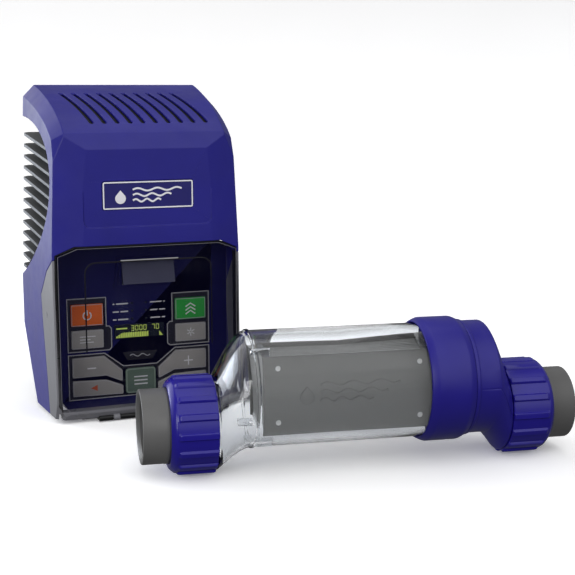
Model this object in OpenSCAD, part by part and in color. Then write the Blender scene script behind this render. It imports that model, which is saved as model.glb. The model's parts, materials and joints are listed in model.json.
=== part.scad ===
// Salt chlorine generator: a control box that hangs on a wall bracket, and the inline cell
// that it powers, lying in front of it on its two union nuts.
// Millimetres. +X to the right along the box's front, +Y into its depth, +Z up.
// The origin is on the floor under the middle of the control box.

/* [Control box] */
// Width of the front at the seam above the cover
front_w = 214.8; // [210:0.2:220]
// Width of the back below the side openings
back_w = 236; // [230:0.5:240]
// Depth from the front face to the back edge
box_d = 144.4; // [142:0.2:147]
// Height of the top edge at the back
box_h = 374; // [371:0.5:378]
// Height of the lower lip above the floor
lip_z = 4.5; // [4:0.1:6]
// Height of the seam between the shell and the cover
seam_z = 197; // [195:0.5:199]
// Drop of the seam at the two side edges
seam_drop = 8.4; // [7:0.1:9]
// Wall thickness of the plastic shells
wall = 3; // [2.6:0.1:3.2]
// Size of the chamfer along the top edges
top_chamfer = 11; // [9:0.5:12]
// Number of slanting vents in the curved top
vents = 10; // [8:1:11]

/* [Heat sink] */
// Number of fins on each side
fins = 13; // [11:1:14]
// Distance between fins
fin_pitch = 12.8; // [12:0.1:13]
// Thickness of a fin
fin_t = 3.6; // [3:0.1:4]
// Rise of a fin towards the back, in degrees
fin_tilt = 8; // [5:0.5:9]

/* [Keypad] */
// Depth of the keypad behind the front face
recess_d = 52; // [50:0.5:54]
// How far the buttons stand out of the panel
button_proud = 2.2; // [1.8:0.1:2.6]
// Travel of a button
button_travel = 1; // [0.8:0.1:1]

/* [Cover] */
// Thickness of the clear cover
cover_t = 3; // [2.6:0.1:3.2]
// Half the width of the clear cover
cover_hw = 103.2; // [102:0.1:104]
// Radius of the cover's hinge pin
hinge_pin_r = 1.5; // [1.4:0.05:1.6]

/* [Cell] */
// Outer diameter of the clear tube
tube_od = 114.3; // [113:0.1:116]
// Outer diameter of the pipe tailpieces
tail_od = 73; // [72:0.1:74]
// Radius of the pipe socket
socket_r = 30.2; // [30:0.05:30.4]
// Depth of the pipe socket
socket_depth = 38; // [34:1:40]
// Outer diameter of the union nuts over their ribs
nut_od = 97; // [96:0.5:97]
// Number of ribs on a union nut
nut_ribs = 16; // [14:1:20]
// Outer diameter of the large collar
collar_od = 125; // [123:0.5:127]
// Distance of the union axis below the tube axis
port_drop = 32.35; // [31:0.05:33]
// Turn of the cell away from the box's front, in degrees
cell_turn = -8.75; // [-9.5:0.25:-8]

/* [Hidden] */
$fn = 64;
hull_fn = 48;

front_y = -72;
back_y = front_y + box_d;
flare = (back_w - front_w) / 2 / box_d;
side_lean = 0.045;
lean_z = 190;
// Width and depth of the bevel down each side of the front
bevel_w = 12.7;
bevel_d = 3;
gap = 0.3;
// Past the widest part of the box, and past everything
past_side = 130;
far = 400;

// Points of a cubic curve through four control points
function curve(p, n) = [for (i = [0:n]) let (t = i / n, s = 1 - t)
    s * s * s * p[0] + 3 * s * s * t * p[1] + 3 * s * t * t * p[2] + t * t * t * p[3]];
function shift(points, d) = [for (p = points) p + d];

// Removes everything beyond a plane, given a point on it and its outward normal
module beyond(point, normal) {
    n = normal / norm(normal);
    translate(point) rotate([0, acos(n[2]), atan2(n[1], n[0])])
        translate([-far, -far, 0]) cube([2 * far, 2 * far, far]);
}
// A profile drawn in Y and Z, extruded along X between two places
module along_x(x0, x1) translate([x0, 0, 0]) rotate([90, 0, 90]) linear_extrude(x1 - x0) children();
// A profile drawn in X and Z, extruded along Y between two places
module along_y(y0, y1) translate([0, y1, 0]) rotate([90, 0, 0]) linear_extrude(y1 - y0) children();
module both_sides() for (side = [0, 1]) mirror([side, 0, 0]) children();
module block(low, high) translate(low) cube(high - low);
module rod_x(r, x0, x1, y, z) translate([x0, y, z]) rotate([0, 90, 0]) cylinder(r = r, h = x1 - x0);
module rod_y(r, y0, y1, x, z) translate([x, y0, z]) rotate([-90, 0, 0]) cylinder(r = r, h = y1 - y0);
// A rectangle with round corners
module round_rect(x0, z0, x1, z1, r) {
    translate([x0 + r, z0]) square([x1 - x0 - 2 * r, z1 - z0]);
    translate([x0, z0 + r]) square([x1 - x0, z1 - z0 - 2 * r]);
    for (x = [x0 + r, x1 - r], z = [z0 + r, z1 - r]) translate([x, z]) circle(r);
}

// ---- Control box envelope ----

band_z = 302;
band_top = [front_y + 8, 322];
top_points = concat([[front_y, band_z]],
    curve([band_top, [front_y + 30, 342], [front_y + 80, 362], [back_y, box_h]], 7));
function side_x(y, z) = front_w / 2 + flare * (y - front_y) - side_lean * max(0, z - lean_z);
function line_normal(a, b) = let (d = b - a, len = norm(d)) [-d[1] / len, d[0] / len];
function inset_top(t) = let (n = len(top_points) - 1) [for (i = [0:n])
    top_points[i] - t * line_normal(top_points[max(i - 1, 0)], top_points[min(i + 1, n)])];

// The whole outer form of the box, moved inwards by t; open_ended runs past the back and bottom
module box_form(t, open_ended) {
    past = open_ended ? 20 : 0;
    points = concat([[front_y + t, lip_z - past]], inset_top(t), open_ended
        ? [[back_y + past, box_h - t], [back_y + past, lip_z - past]]
        : [[back_y, 93], [front_y + 93, lip_z]]);
    difference() {
        along_x(-past_side, past_side) polygon(points);
        both_sides() {
            beyond([side_x(front_y, 0) - t, front_y, 0], [1, -flare, 0]);
            beyond([side_x(front_y, lean_z) - t, front_y, lean_z], [1, -flare, side_lean]);
            beyond([front_w / 2 - bevel_w - t, front_y + t, 0], [bevel_d, -bevel_w, 0.3]);
            for (i = [0:len(top_points) - 2]) let (a = top_points[i], n = line_normal(a, top_points[i + 1]))
                beyond([side_x(a[0], a[1]) - top_chamfer, a[0], a[1]] - t * [1, n[0], n[1]] / sqrt(2),
                    [1, n[0], n[1]]);
        }
    }
}
module box_wall(t_out, t_in) difference() {
    box_form(t_out, false);
    box_form(t_in, true);
}

// The curved opening in each side wall that shows the fins, made smaller by t
module fin_window(t) along_x(-past_side, past_side) polygon(concat(
    curve([[back_y + 4, 338 - t], [front_y - 15 + t, 330 - t], [front_y - 28 + t, 220 + t],
        [back_y + 4, 150 + t]], 16),
    [[back_y + 30, 150 + t], [back_y + 30, 338 - t]]));

// Outline of the grey side trim, in Y and Z
trim_outline = [[front_y - 2, seam_z - seam_drop + 1.6], [front_y + 32, 170], [front_y + 60, 140],
    [front_y + 55, 104], [front_y + 45, 54], [front_y + 37, lip_z - 1], [front_y - 2, lip_z - 1]];

rail_top = 14;
// How far behind the front plane the front surface still reaches at the edges of the cover
front_reach = 12;
// Outline of the cover in X and Z, grown by g
function cover_outline(g) = let (hw = cover_hw + g, top = seam_z + g, low = rail_top - g,
    side_top = seam_z - seam_drop + g * 0.4) [
    [-hw, low + 9], [-hw + 9, low], [hw - 9, low], [hw, low + 9],
    [hw, side_top], [hw - 21, top], [-hw + 21, top], [-hw, side_top]];

// ---- Control box shells ----

vent_pitch = 14.6;
vent_turn = 13;
vent_size = [5.4, 84, 100];
module vent_cut(i) {
    x = (i - (vents - 1) / 2) * vent_pitch;
    translate([x, front_y + 62, band_z]) rotate([0, 0, vent_turn])
        translate([-vent_size[0] / 2, -vent_size[1] / 2, 0]) cube(vent_size);
}

badge_seat = [-52, 238, 52, 269.5];
badge_rim = 2;
badge_deep = 1.8;
module badge_field(t, r)
    round_rect(badge_seat[0] + t, badge_seat[1] + t, badge_seat[2] - t, badge_seat[3] - t, r);
panel_screw_x = [-84, 84];
panel_screw_z = 212;

module front_shell() {
    color([0.15, 0.14, 0.42]) difference() {
        box_wall(0, wall);
        // opening for the cover and its seal
        along_y(front_y - 5, front_y + front_reach) polygon(cover_outline(1.9));
        along_x(-past_side, past_side) polygon(trim_outline);
        // open underneath between the trims
        block([-90, front_y - 5, -5], [90, front_y + 100, lip_z + wall + 6]);
        fin_window(0);
        for (i = [0:vents - 1]) vent_cut(i);
        // recessed front panel and the seat of the badge
        along_y(front_y - 1, front_y + 1) round_rect(-73, 219, 73, band_z + 4, 7);
        along_y(front_y - 1, front_y + badge_deep) badge_field(0, 3);
    }
    // posts that the recess panel screws to
    color([0.15, 0.14, 0.42]) for (x = panel_screw_x) difference() {
        rod_y(5, front_y + wall, panel_y - gap, x, panel_screw_z);
        rod_y(1.6, panel_y - 14, panel_y + 1, x, panel_screw_z);
    }
}

module badge() color([0.17, 0.17, 0.5]) difference() {
    along_y(front_y + 0.4, front_y + badge_deep) badge_field(0.4, 2.6);
    along_y(front_y, front_y + 0.8) badge_field(0.4 + badge_rim, 1.6);
}

module vent_screen() color([0.06, 0.06, 0.08]) difference() {
    intersection() {
        box_form(wall + 0.4, true);
        block([-78, front_y + 16, 320], [78, front_y + 112, 380]);
    }
    box_form(wall + 1.6, true);
}

// Facets that cut the two lower front corners
module corner_facets() both_sides() beyond([98, front_y, 9], [1, -0.9, -0.4]);
rail_end_x = 101.5;

module side_trim() difference() {
    intersection() {
        box_wall(0, wall);
        along_x(85, past_side) polygon(shift(trim_outline, [-0.2, -gap]));
    }
    along_y(front_y - 5, front_y + front_reach) polygon(cover_outline(1.9));
    block([0, front_y - 5, -5], [past_side, front_y + 3.6, rail_top + 2 * gap]);
    block([0, front_y, -5], [rail_end_x + 0.5, back_y, lip_z + 20]);
    corner_facets();
}
module side_trim_right() color([0.46, 0.46, 0.48]) side_trim();
module side_trim_left() color([0.46, 0.46, 0.48]) mirror([1, 0, 0]) side_trim();

// ---- Heat sink and chassis ----

sink_hw = 92;
sink_low = 156;
sink_high = 346;
sink_back = back_y - 6.4;
module fin(z) {
    y0 = front_y + 16;
    y1 = back_y - 3;
    outline = [[sink_hw - 1, y0], [side_x(y0, z) - 1, y0], [side_x(y1, z) - 0.4, y1 - 4],
        [side_x(y1, z) - 6, y1], [sink_hw - 1, y1]];
    translate([0, y1, z]) rotate([fin_tilt, 0, 0]) translate([0, -y1, -fin_t / 2])
        linear_extrude(fin_t) polygon(outline);
}
module heat_sink() color([0.33, 0.34, 0.35]) {
    difference() {
        intersection() {
            along_x(-sink_hw, sink_hw) polygon([[board_y + 5, sink_low], [sink_back, sink_low],
                [sink_back, sink_high], [front_y + 22, sink_high], [front_y + 22, 224],
                [board_y + 5, 224]]);
            box_form(wall + 3, true);
        }
        // room for the power electronics, open to the front
        block([-sink_hw + 5, front_y, sink_low + 5], [sink_hw - 5, sink_back - 6, sink_high + 9]);
        for (x = bracket_x, z = bracket_z) rod_y(6, sink_back - 10, sink_back + 1, x, z);
        for (x = bracket_screw_x)
            rod_y(bracket_screw_r + 0.05, sink_back - 10, sink_back + 1, x, bracket_screw_z);
    }
    intersection() {
        both_sides() for (i = [0:fins - 1]) fin(164 + i * fin_pitch);
        fin_window(1.4);
    }
}

foot_hw = 78;
chassis_y = front_y + 65;
foot_t = 8;
foot_y = front_y + 16;
module chassis_foot() color([0.12, 0.12, 0.14]) block([-foot_hw, foot_y, 0], [foot_hw, chassis_y, foot_t]);
module rear_chassis() color([0.12, 0.12, 0.14]) difference() {
    along_x(-foot_hw, foot_hw) polygon([[chassis_y, 0], [slope_low_y, 0], [sink_back, slope_high],
        [sink_back, sink_low - gap], [chassis_y, sink_low - gap]]);
    along_x(-foot_hw + 3, foot_hw - 3) polygon([[chassis_y - 1, 3], [slope_low_y - 2, 3],
        [sink_back - 3, slope_high + 1], [sink_back - 3, sink_low + 5], [chassis_y - 1, sink_low + 5]]);
    for (p = gland_places) gland_place(p) cylinder(r = gland_hole_r, h = 20, center = true);
}

// Two entries on the sloping lower back: mains gland and cell socket
slope_low_y = front_y + 112;
slope_high = 90;
gland_share = 0.55;
slope = atan2(slope_high, sink_back - slope_low_y);
gland_places = [-38, 38];
gland_hole_r = 8.2;
module gland_place(x)
    translate([x, slope_low_y + (sink_back - slope_low_y) * gland_share, slope_high * gland_share])
        rotate([slope - 180, 0, 0]) children();

bracket_x = [-45, 45];
bracket_z = [214, 284];
bracket_screw_x = [-70, 70];
bracket_screw_z = 249;
bracket_screw_r = 2;
module wall_bracket() color([0.62, 0.63, 0.65]) difference() {
    union() {
        along_y(back_y - 2.4, back_y) round_rect(-80, 200, 80, 298, 6);
        for (x = bracket_screw_x) rod_y(6, sink_back, back_y - 2, x, bracket_screw_z);
    }
    for (x = bracket_x, z = bracket_z) rod_y(3.25, back_y - 5, back_y + 1, x, z);
    for (x = bracket_screw_x) rod_y(bracket_screw_r + 0.2, sink_back - 1, back_y + 1, x, bracket_screw_z);
    along_y(back_y - 5, back_y + 1) round_rect(-22, 228, 22, 270, 5);
}
module bracket_screws() color([0.75, 0.75, 0.77]) for (x = bracket_screw_x) {
    rod_y(bracket_screw_r, sink_back - 5.5, back_y, x, bracket_screw_z);
    difference() {
        rod_y(4, back_y, back_y + 2.2, x, bracket_screw_z);
        rod_y(1.4, back_y + 1, back_y + 3, x, bracket_screw_z);
    }
}

module shell_gasket() color([0.05, 0.05, 0.05]) difference() {
    block([-foot_hw, chassis_y, sink_low - gap], [foot_hw, sink_back, sink_low]);
    block([-foot_hw + 3, chassis_y - 1, sink_low - 1], [foot_hw - 3, sink_back - 3, sink_low + 1]);
}

// ---- Keypad ----

panel_y = front_y + recess_d;
panel_t = 2.5;
button_y = panel_y - button_proud;

module recess_panel() color([0.1, 0.1, 0.3]) difference() {
    union() {
        along_y(panel_y, panel_y + panel_t) polygon([[-101, 24], [-92, 10], [92, 10], [101, 24],
            [107.6, 60], [107.6, 184], [90, 196], [90, 218], [-90, 218], [-90, 196],
            [-107.6, 184], [-107.6, 60]]);
        // top and bottom returns that reach forward to the shell and the rail
        block([-86, front_y + 8, 201], [86, panel_y, 203]);
        block([-92, front_y + 15.6, 10], [92, panel_y, 12]);
    }
    for (b = button_shapes) along_y(panel_y - 1, panel_y + 5) button_outline(b, 0.35);
    block([lcd_low[0] - lcd_fit, panel_y - 1, lcd_low[1] - lcd_fit],
        [lcd_high[0] + lcd_fit, panel_y + 5, lcd_high[1] + lcd_fit]);
    for (p = led_places) rod_y(led_r + 0.1, panel_y - 1, panel_y + 5, p[0], p[1]);
    for (x = panel_screw_x) {
        rod_y(2, panel_y - 1, panel_y + 5, x, panel_screw_z);
        rod_y(6, front_y, panel_y - gap, x, panel_screw_z);
    }
}
module panel_screws() color([0.7, 0.7, 0.72]) for (x = panel_screw_x) {
    rod_y(1.5, panel_y - 10, panel_y + panel_t, x, panel_screw_z);
    difference() {
        rod_y(3.4, panel_y + panel_t, panel_y + panel_t + 2, x, panel_screw_z);
        rod_y(1.2, panel_y + panel_t + 1, panel_y + panel_t + 3, x, panel_screw_z);
    }
}

// Buttons as outlines in X and Z; the right-hand ones mirror the left-hand ones
power_box = [[-80.5, 100.5], [-43, 100.5], [-43, 126], [-80.5, 126]];
info_box = [[-80.5, 74], [-43, 74], [-43, 95.5], [-80.5, 95.5]];
step_box = [[-80.5, 40], [-41, 40.4], [-21.5, 31.6], [-21.5, 45.5], [-43, 64], [-80.5, 63.5]];
turn_box = [[-80.5, 18], [-21, 17], [-21, 27.4], [-41, 35.6], [-80.5, 36.6]];
menu_hw = 18.2;
menu_low = 16.6;
menu_high = 46.6;
function mirrored(points) = [for (p = points) [-p[0], p[1]]];
button_shapes = [power_box, info_box, step_box, turn_box, mirrored(power_box), mirrored(info_box),
    mirrored(step_box), mirrored(turn_box), [[-menu_hw, menu_low], [menu_hw, menu_low],
    [menu_hw, menu_high], [-menu_hw, menu_high]]];
led_places = [for (x = [-8.2, 8.2], z = [105, 114.5, 123.5]) [x, z]];
led_r = 1.3;
lcd_low = [-29.7, 82.3];
lcd_high = [29.7, 98.7];
lcd_fit = 0.3;

// An outline with every edge moved outwards by g
function turning(p) = let (n = len(p)) sign([for (i = [0:n - 1]) let (a = p[i], b = p[(i + 1) % n])
    a[0] * b[1] - a[1] * b[0]] * [for (i = [0:n - 1]) 1]);
function grown(p, g) = let (n = len(p), side = turning(p)) [for (i = [0:n - 1])
    let (u = p[i] - p[(i + n - 1) % n], v = p[(i + 1) % n] - p[i],
        nu = side * [u[1], -u[0]] / norm(u), nv = side * [v[1], -v[0]] / norm(v))
    p[i] + g / (1 + nu * nv) * (nu + nv)];
module button_outline(points, g) polygon(grown(points, g));
module button(k) {
    along_y(button_y, panel_y + 3.2) button_outline(button_shapes[k], 0);
    along_y(panel_y + panel_t + button_travel + 0.3, panel_y + panel_t + button_travel + 1.5)
        button_outline(button_shapes[k], 1.1);
    along_y(panel_y + 3.1, panel_y + panel_t + button_travel + 0.4) button_outline(button_shapes[k], -1);
}
module button_power() color([0.75, 0.33, 0.1]) button(0);
module button_info() color([0.45, 0.44, 0.43]) button(1);
module button_minus() color([0.45, 0.44, 0.43]) button(2);
module button_back() color([0.45, 0.44, 0.43]) button(3);
module button_boost() color([0.18, 0.53, 0.22]) button(4);
module button_star() color([0.45, 0.44, 0.43]) button(5);
module button_plus() color([0.45, 0.44, 0.43]) button(6);
module button_next() color([0.45, 0.44, 0.43]) button(7);
module button_menu() color([0.33, 0.41, 0.35]) button(8);

// Thin overlay with an opening round each button group
module keypad_frame() color([0.16, 0.16, 0.17]) difference() {
    along_y(panel_y - 0.8, panel_y) {
        for (side = [0, 1]) mirror([side, 0]) {
            polygon([[39, 99], [85, 99], [85, 133], [39, 133]]);
            polygon([[36, 70], [85, 70], [85, 99.5], [36, 99.5], [33, 96], [33, 73]]);
            polygon([[0, 13.5], [85, 13.5], [85, 67.5], [42, 67.5], [20, 50.5], [0, 50.5]]);
        }
    }
    for (b = button_shapes) along_y(panel_y - 3, panel_y + 3) button_outline(b, 0.35);
}

mat_y = panel_y + panel_t + button_travel + 1.9;
module button_mat() color([0.25, 0.25, 0.26]) {
    along_y(mat_y + button_travel, mat_y + button_travel + 1.2) difference() {
        polygon([[-84, 14], [84, 14], [84, 130], [-84, 130]]);
        polygon([[-34, 52], [34, 52], [34, 128], [-34, 128]]);
    }
}
board_y = mat_y + button_travel + 1.3;
board_t = 1.6;
board_screw_x = [-80, 80];
board_screw_z = 140;
module control_board() color([0.1, 0.35, 0.16]) difference() {
    block([-86, board_y, 14], [86, board_y + board_t, 150]);
    for (x = board_screw_x) rod_y(1.7, board_y - 1, board_y + 3, x, board_screw_z);
    block([-60, board_y - 1, 145], [60, board_y + 3, 151]);
}
module board_screws() color([0.7, 0.7, 0.72]) for (x = board_screw_x) {
    rod_y(1.6, panel_y + panel_t, board_y + board_t, x, board_screw_z);
    rod_y(3, board_y + board_t, board_y + 2 * board_t, x, board_screw_z);
}
module lcd_block(y0, y1) block([lcd_low[0], y0, lcd_low[1]], [lcd_high[0], y1, lcd_high[1]]);
module lcd_window() color([0.6, 0.7, 0.35]) lcd_block(panel_y - 0.3, panel_y + 1.2);
module lcd_module() color([0.15, 0.15, 0.16]) difference() {
    block([-33, panel_y + panel_t + 0.1, 78], [33, board_y - 0.1, 103]);
    lcd_block(panel_y, panel_y + panel_t + 1.2);
}
module indicator_leds() color([0.2, 0.5, 0.25]) for (p = led_places)
    rod_y(led_r, panel_y - 0.3, board_y, p[0], p[1]);

// ---- Power electronics ----

power_y = sink_back - 16;
module power_board() color([0.1, 0.35, 0.16]) difference() {
    block([-80, power_y, 172], [80, power_y + board_t, 330]);
    for (x = [-70, 70], z = [180, 322]) rod_y(1.8, power_y - 1, power_y + 3, x, z);
}
module transformer() color([0.4, 0.28, 0.12]) {
    difference() {
        block([-66, power_y - 56, 184], [2, power_y, 262]);
        block([-54, power_y - 57, 196], [-42, power_y + 1, 250]);
        block([-22, power_y - 57, 196], [-10, power_y + 1, 250]);
    }
    block([-53, power_y - 50, 197], [-43, power_y - 6, 249]);
    block([-21, power_y - 50, 197], [-11, power_y - 6, 249]);
}
module capacitors() color([0.12, 0.14, 0.2]) for (x = [26, 50], z = [208, 236])
    rod_y(10, power_y - 34, power_y, x, z);
module fuse_holder() color([0.1, 0.1, 0.1]) {
    block([20, power_y - 8, 274], [60, power_y, 286]);
    rod_x(3, 24, 56, power_y - 11, 280);
}
module terminal_strip() color([0.2, 0.3, 0.25]) difference() {
    block([-62, power_y - 16, 284], [-2, power_y, 300]);
    for (i = [0:5]) translate([-56.5 + i * 10, power_y - 10, 270]) cylinder(r = 2.2, h = 40);
}
module power_gland() color([0.08, 0.08, 0.09]) gland_place(gland_places[0]) difference() {
    union() {
        translate([0, 0, -12]) cylinder(r = 8, h = 12.2);
        translate([0, 0, 0.1]) cylinder(r = 11, h = 5, $fn = 6);
        translate([0, 0, 5]) cylinder(r = 8.6, h = 8);
    }
    translate([0, 0, -13]) cylinder(r = 4, h = 40);
}
module cell_socket() color([0.08, 0.08, 0.09]) gland_place(gland_places[1]) difference() {
    union() {
        translate([0, 0, -12]) cylinder(r = 8, h = 12.2);
        translate([0, 0, 0.1]) cylinder(r = 12, h = 3);
        translate([0, 0, 3]) cylinder(r = 9.5, h = 9);
    }
    translate([0, 0, 0.5]) cylinder(r = 7.5, h = 20);
    for (a = [0:120:240]) rotate([0, 0, a]) translate([4, 0, -13]) cylinder(r = 1, h = 20);
}

// ---- Cover ----

hinge_y = front_y - 0.6;
hinge_z = 4;
knuckle_r = 3;
moving_knuckle = [38.4, 45.6];
fixed_knuckles = [[10, 38], [46, 62]];
scoop_deep = 12;
scoop_wall = 3;
module scoop_outline(g)
    polygon([[-37 - g, 152 - g], [37 + g, 152 - g], [33 + g, 181 + g], [-33 - g, 181 + g]]);
module cover() color([0.2, 0.2, 0.35, 0.45]) difference() {
    union() {
        intersection() {
            along_y(front_y, front_y + front_reach) polygon(cover_outline(0));
            difference() {
                box_form(0, true);
                box_form(cover_t, true);
            }
        }
        // finger scoop wall standing behind the plate
        along_y(front_y + cover_t - 1, front_y + scoop_deep) scoop_outline(scoop_wall);
    }
    along_y(front_y - 1, front_y + scoop_deep - 2) scoop_outline(0);
}
module cover_seal() color([0.03, 0.03, 0.03]) difference() {
    intersection() {
        along_y(front_y, front_y + front_reach) polygon(cover_outline(1.6));
        box_form(1, true);
    }
    intersection() {
        along_y(front_y, front_y + front_reach) polygon(cover_outline(0.4));
        difference() {
            box_form(0, true);
            box_form(cover_t + 0.4, true);
        }
    }
    box_form(cover_t + 2, true);
    along_y(front_y, front_y + 20) polygon(cover_outline(-2));
    block([-past_side, front_y - 1, -5], [past_side, front_y + 20, rail_top + 9]);
}

module rail_body() difference() {
    intersection() {
        box_form(0, false);
        block([-past_side, front_y - 1, lip_z], [past_side, front_y + 15, rail_top]);
    }
    // hollow back of the rail
    block([-100, front_y + 3, lip_z + 2.5], [100, front_y + 20, rail_top - 2.2]);
    // sloping lower front edge and the facets at the two corners
    beyond([0, front_y, rail_top - 3], [0, -1, -0.45]);
    corner_facets();
    both_sides() block([rail_end_x, front_y + 3, 0], [past_side, front_y + 20, rail_top + 1]);
}
module bottom_rail() color([0.46, 0.46, 0.48]) difference() {
    union() {
        rail_body();
        // knuckles that turn between those of the hinge bar
        both_sides() {
            rod_x(knuckle_r + 0.4, moving_knuckle[0], moving_knuckle[1], hinge_y, hinge_z);
            block([moving_knuckle[0], hinge_y, lip_z], [moving_knuckle[1], front_y + 3.5, hinge_z + 3.4]);
        }
    }
    rod_x(hinge_pin_r + 0.05, -70, 70, hinge_y, hinge_z);
}
// Black hinge leaf under the rail, with its two knuckles, fixed to the foot of the chassis
module hinge_bar() color([0.03, 0.03, 0.03]) difference() {
    union() {
        both_sides() for (k = fixed_knuckles) {
            rod_x(knuckle_r, k[0], k[1], hinge_y, hinge_z);
            block([k[0], hinge_y, 1], [k[1], foot_y, 3.4]);
        }
        block([-62, front_y + 6, 1], [62, foot_y, 3.4]);
    }
    rod_x(hinge_pin_r, -70, 70, hinge_y, hinge_z);
}
module hinge_pin() color([0.6, 0.6, 0.62]) both_sides() rod_x(hinge_pin_r, 11, 61.5, hinge_y, hinge_z);

// ---- Cell ----

tube_r = tube_od / 2;
nut_r = nut_od / 2;
nut_len = 45;
nut_shoulder = 24.7;
rib_h = 2.2;
rib_w = 7;
nut_start = 26;
tail_len = 56.7;
collar_r = collar_od / 2;
port_z = nut_r;
tube_z = port_z + port_drop;
cell_origin = [-67.4, -272.5, 0];
cell_len = 438;
tube_wall = 4;
cone_start = 71.6;
cone_bead = 0.3;
tube_start = 105;
collar_start = 276;
collar_end = 322;
body_end = 352;
port_end = 364;
male_r = 42.6;
port_bore_r = 27;
face_left = tail_len + gap;
face_right = cell_len - tail_len - gap;

module in_cell() translate(cell_origin) rotate([0, 0, cell_turn]) children();
module disc(x, r, z, t) rod_x(r, x, x + t, 0, z, $fn = hull_fn);
module tube_x(r_out, r_in, x0, x1, z) difference() {
    rod_x(r_out, x0, x1, 0, z);
    rod_x(r_in, x0 - 1, x1 + 1, 0, z);
}

module clear_housing() color([0.85, 0.88, 0.9, 0.35]) in_cell() difference() {
    union() {
        rod_x(male_r, face_left, cone_start + 1, 0, port_z);
        hull() {
            disc(cone_start, male_r + 3, port_z, 0.5);
            disc(tube_start - 7, tube_r - 3, tube_z, 0.5);
            disc(tube_start - 0.5, tube_r + cone_bead, tube_z, 0.5);
        }
        rod_x(tube_r, tube_start - 0.3, 300, 0, tube_z);
    }
    rod_x(port_bore_r, face_left - 1, cone_start + 3, 0, port_z);
    hull() {
        disc(cone_start + 2, male_r - 6, port_z, 0.5);
        disc(tube_start - 5, tube_r - 8, tube_z, 0.5);
        disc(tube_start + 0.5, tube_r - tube_wall - cone_bead, tube_z, 0.5);
    }
    rod_x(tube_r - tube_wall, tube_start + 0.7, 301, 0, tube_z);
    // groove for the union seal
    port_face(face_left, 1) seal_groove();
}
// The face of a port of the cell, with its children's Z pointing into the cell
module port_face(x, inward) translate([x, 0, port_z]) rotate([0, inward * 90, 0]) children();
seal_ring_r = 33;
seal_r = 1.3;
module seal_groove() difference() {
    translate([0, 0, -0.1]) cylinder(r = seal_ring_r + 1.5, h = 2.9);
    translate([0, 0, -1]) cylinder(r = seal_ring_r - 1.5, h = 5);
}
module union_seal(x, inward) in_cell() port_face(x, inward)
    translate([0, 0, seal_r + 0.05]) rotate_extrude() translate([seal_ring_r, 0]) circle(seal_r, $fn = 24);
module union_seal_left() color([0.05, 0.05, 0.05]) union_seal(face_left, 1);
module union_seal_right() color([0.05, 0.05, 0.05]) union_seal(face_right, -1);

plate_half = 34;
pack_start = 113;
pack_end = 284;
pack_hh = 37.5;
plate_pitch = 6.8;
cathode_y = [for (i = [-4:2:4]) i * plate_pitch];
anode_y = [for (i = [-3:2:3]) i * plate_pitch];
rod_places = [[128, 26], [128, -26], [268, 26], [268, -26]];
module plate(y, t, x0, x1, hh) difference() {
    block([x0, y - t / 2, tube_z - hh], [x1, y + t / 2, tube_z + hh]);
    for (p = rod_places) rod_y(2.6, y - 3, y + 3, p[0], tube_z + p[1]);
}
module outer_plates() color([0.4, 0.4, 0.41]) in_cell()
    for (y = [-plate_half, plate_half]) plate(y, 2, pack_start, pack_end, pack_hh);
module anode_plates() color([0.2, 0.2, 0.21]) in_cell()
    for (y = anode_y) plate(y, 1.2, pack_start + 3, pack_end + 4, pack_hh - 4);
module cathode_plates() color([0.5, 0.5, 0.5]) in_cell()
    for (y = cathode_y) plate(y, 1.2, pack_start + 3, pack_end - 6, pack_hh - 4);
module tie_rods() color([0.5, 0.5, 0.5]) in_cell() for (p = rod_places)
    rod_y(2.5, -plate_half - 0.9, plate_half + 0.9, p[0], tube_z + p[1]);
comb_z = 35.4;
module plate_combs() color([0.8, 0.82, 0.84]) in_cell() difference() {
    for (x = [pack_start + 2, pack_end - 12], z = [tube_z - comb_z, tube_z + comb_z])
        block([x, -plate_half + 1, z - 2], [x + 6, plate_half - 1, z + 2]);
    for (y = concat(anode_y, cathode_y))
        block([pack_start - 5, y - 0.7, 0], [pack_end + 5, y + 0.7, 200]);
}
stud_z = [-24, 0, 24];
module electrode_carrier() color([0.2, 0.2, 0.22]) in_cell() difference() {
    union() {
        tube_x(tube_r - tube_wall - gap, tube_r - tube_wall - 6, 288.5, 299, tube_z);
        block([288.5, -5, tube_z - 49], [299, 5, tube_z + 49]);
    }
    for (z = stud_z) rod_x(3.1, 280, 310, 0, tube_z + z);
}
module terminal_studs() color([0.7, 0.68, 0.62]) in_cell() for (z = stud_z)
    rod_x(3, 288.2, 316, 0, tube_z + z);

module collar() color([0.12, 0.1, 0.5]) in_cell() difference() {
    translate([collar_start, 0, tube_z]) rotate([0, 90, 0]) rotate_extrude($fn = 96) polygon([
        [tube_r - 2, 0], [tube_r + 2.2, 0], [collar_r, 7], [collar_r, collar_end - collar_start - 7],
        [tube_r + 2.2, collar_end - collar_start], [tube_r - 2, collar_end - collar_start]]);
    rod_x(tube_r + 0.1, collar_start - 1, collar_end + 1, 0, tube_z);
}
module collar_seal() color([0.05, 0.05, 0.05]) in_cell()
    tube_x(tube_r - 0.1, tube_r - tube_wall + 0.3, 300.1, 302, tube_z);

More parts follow.
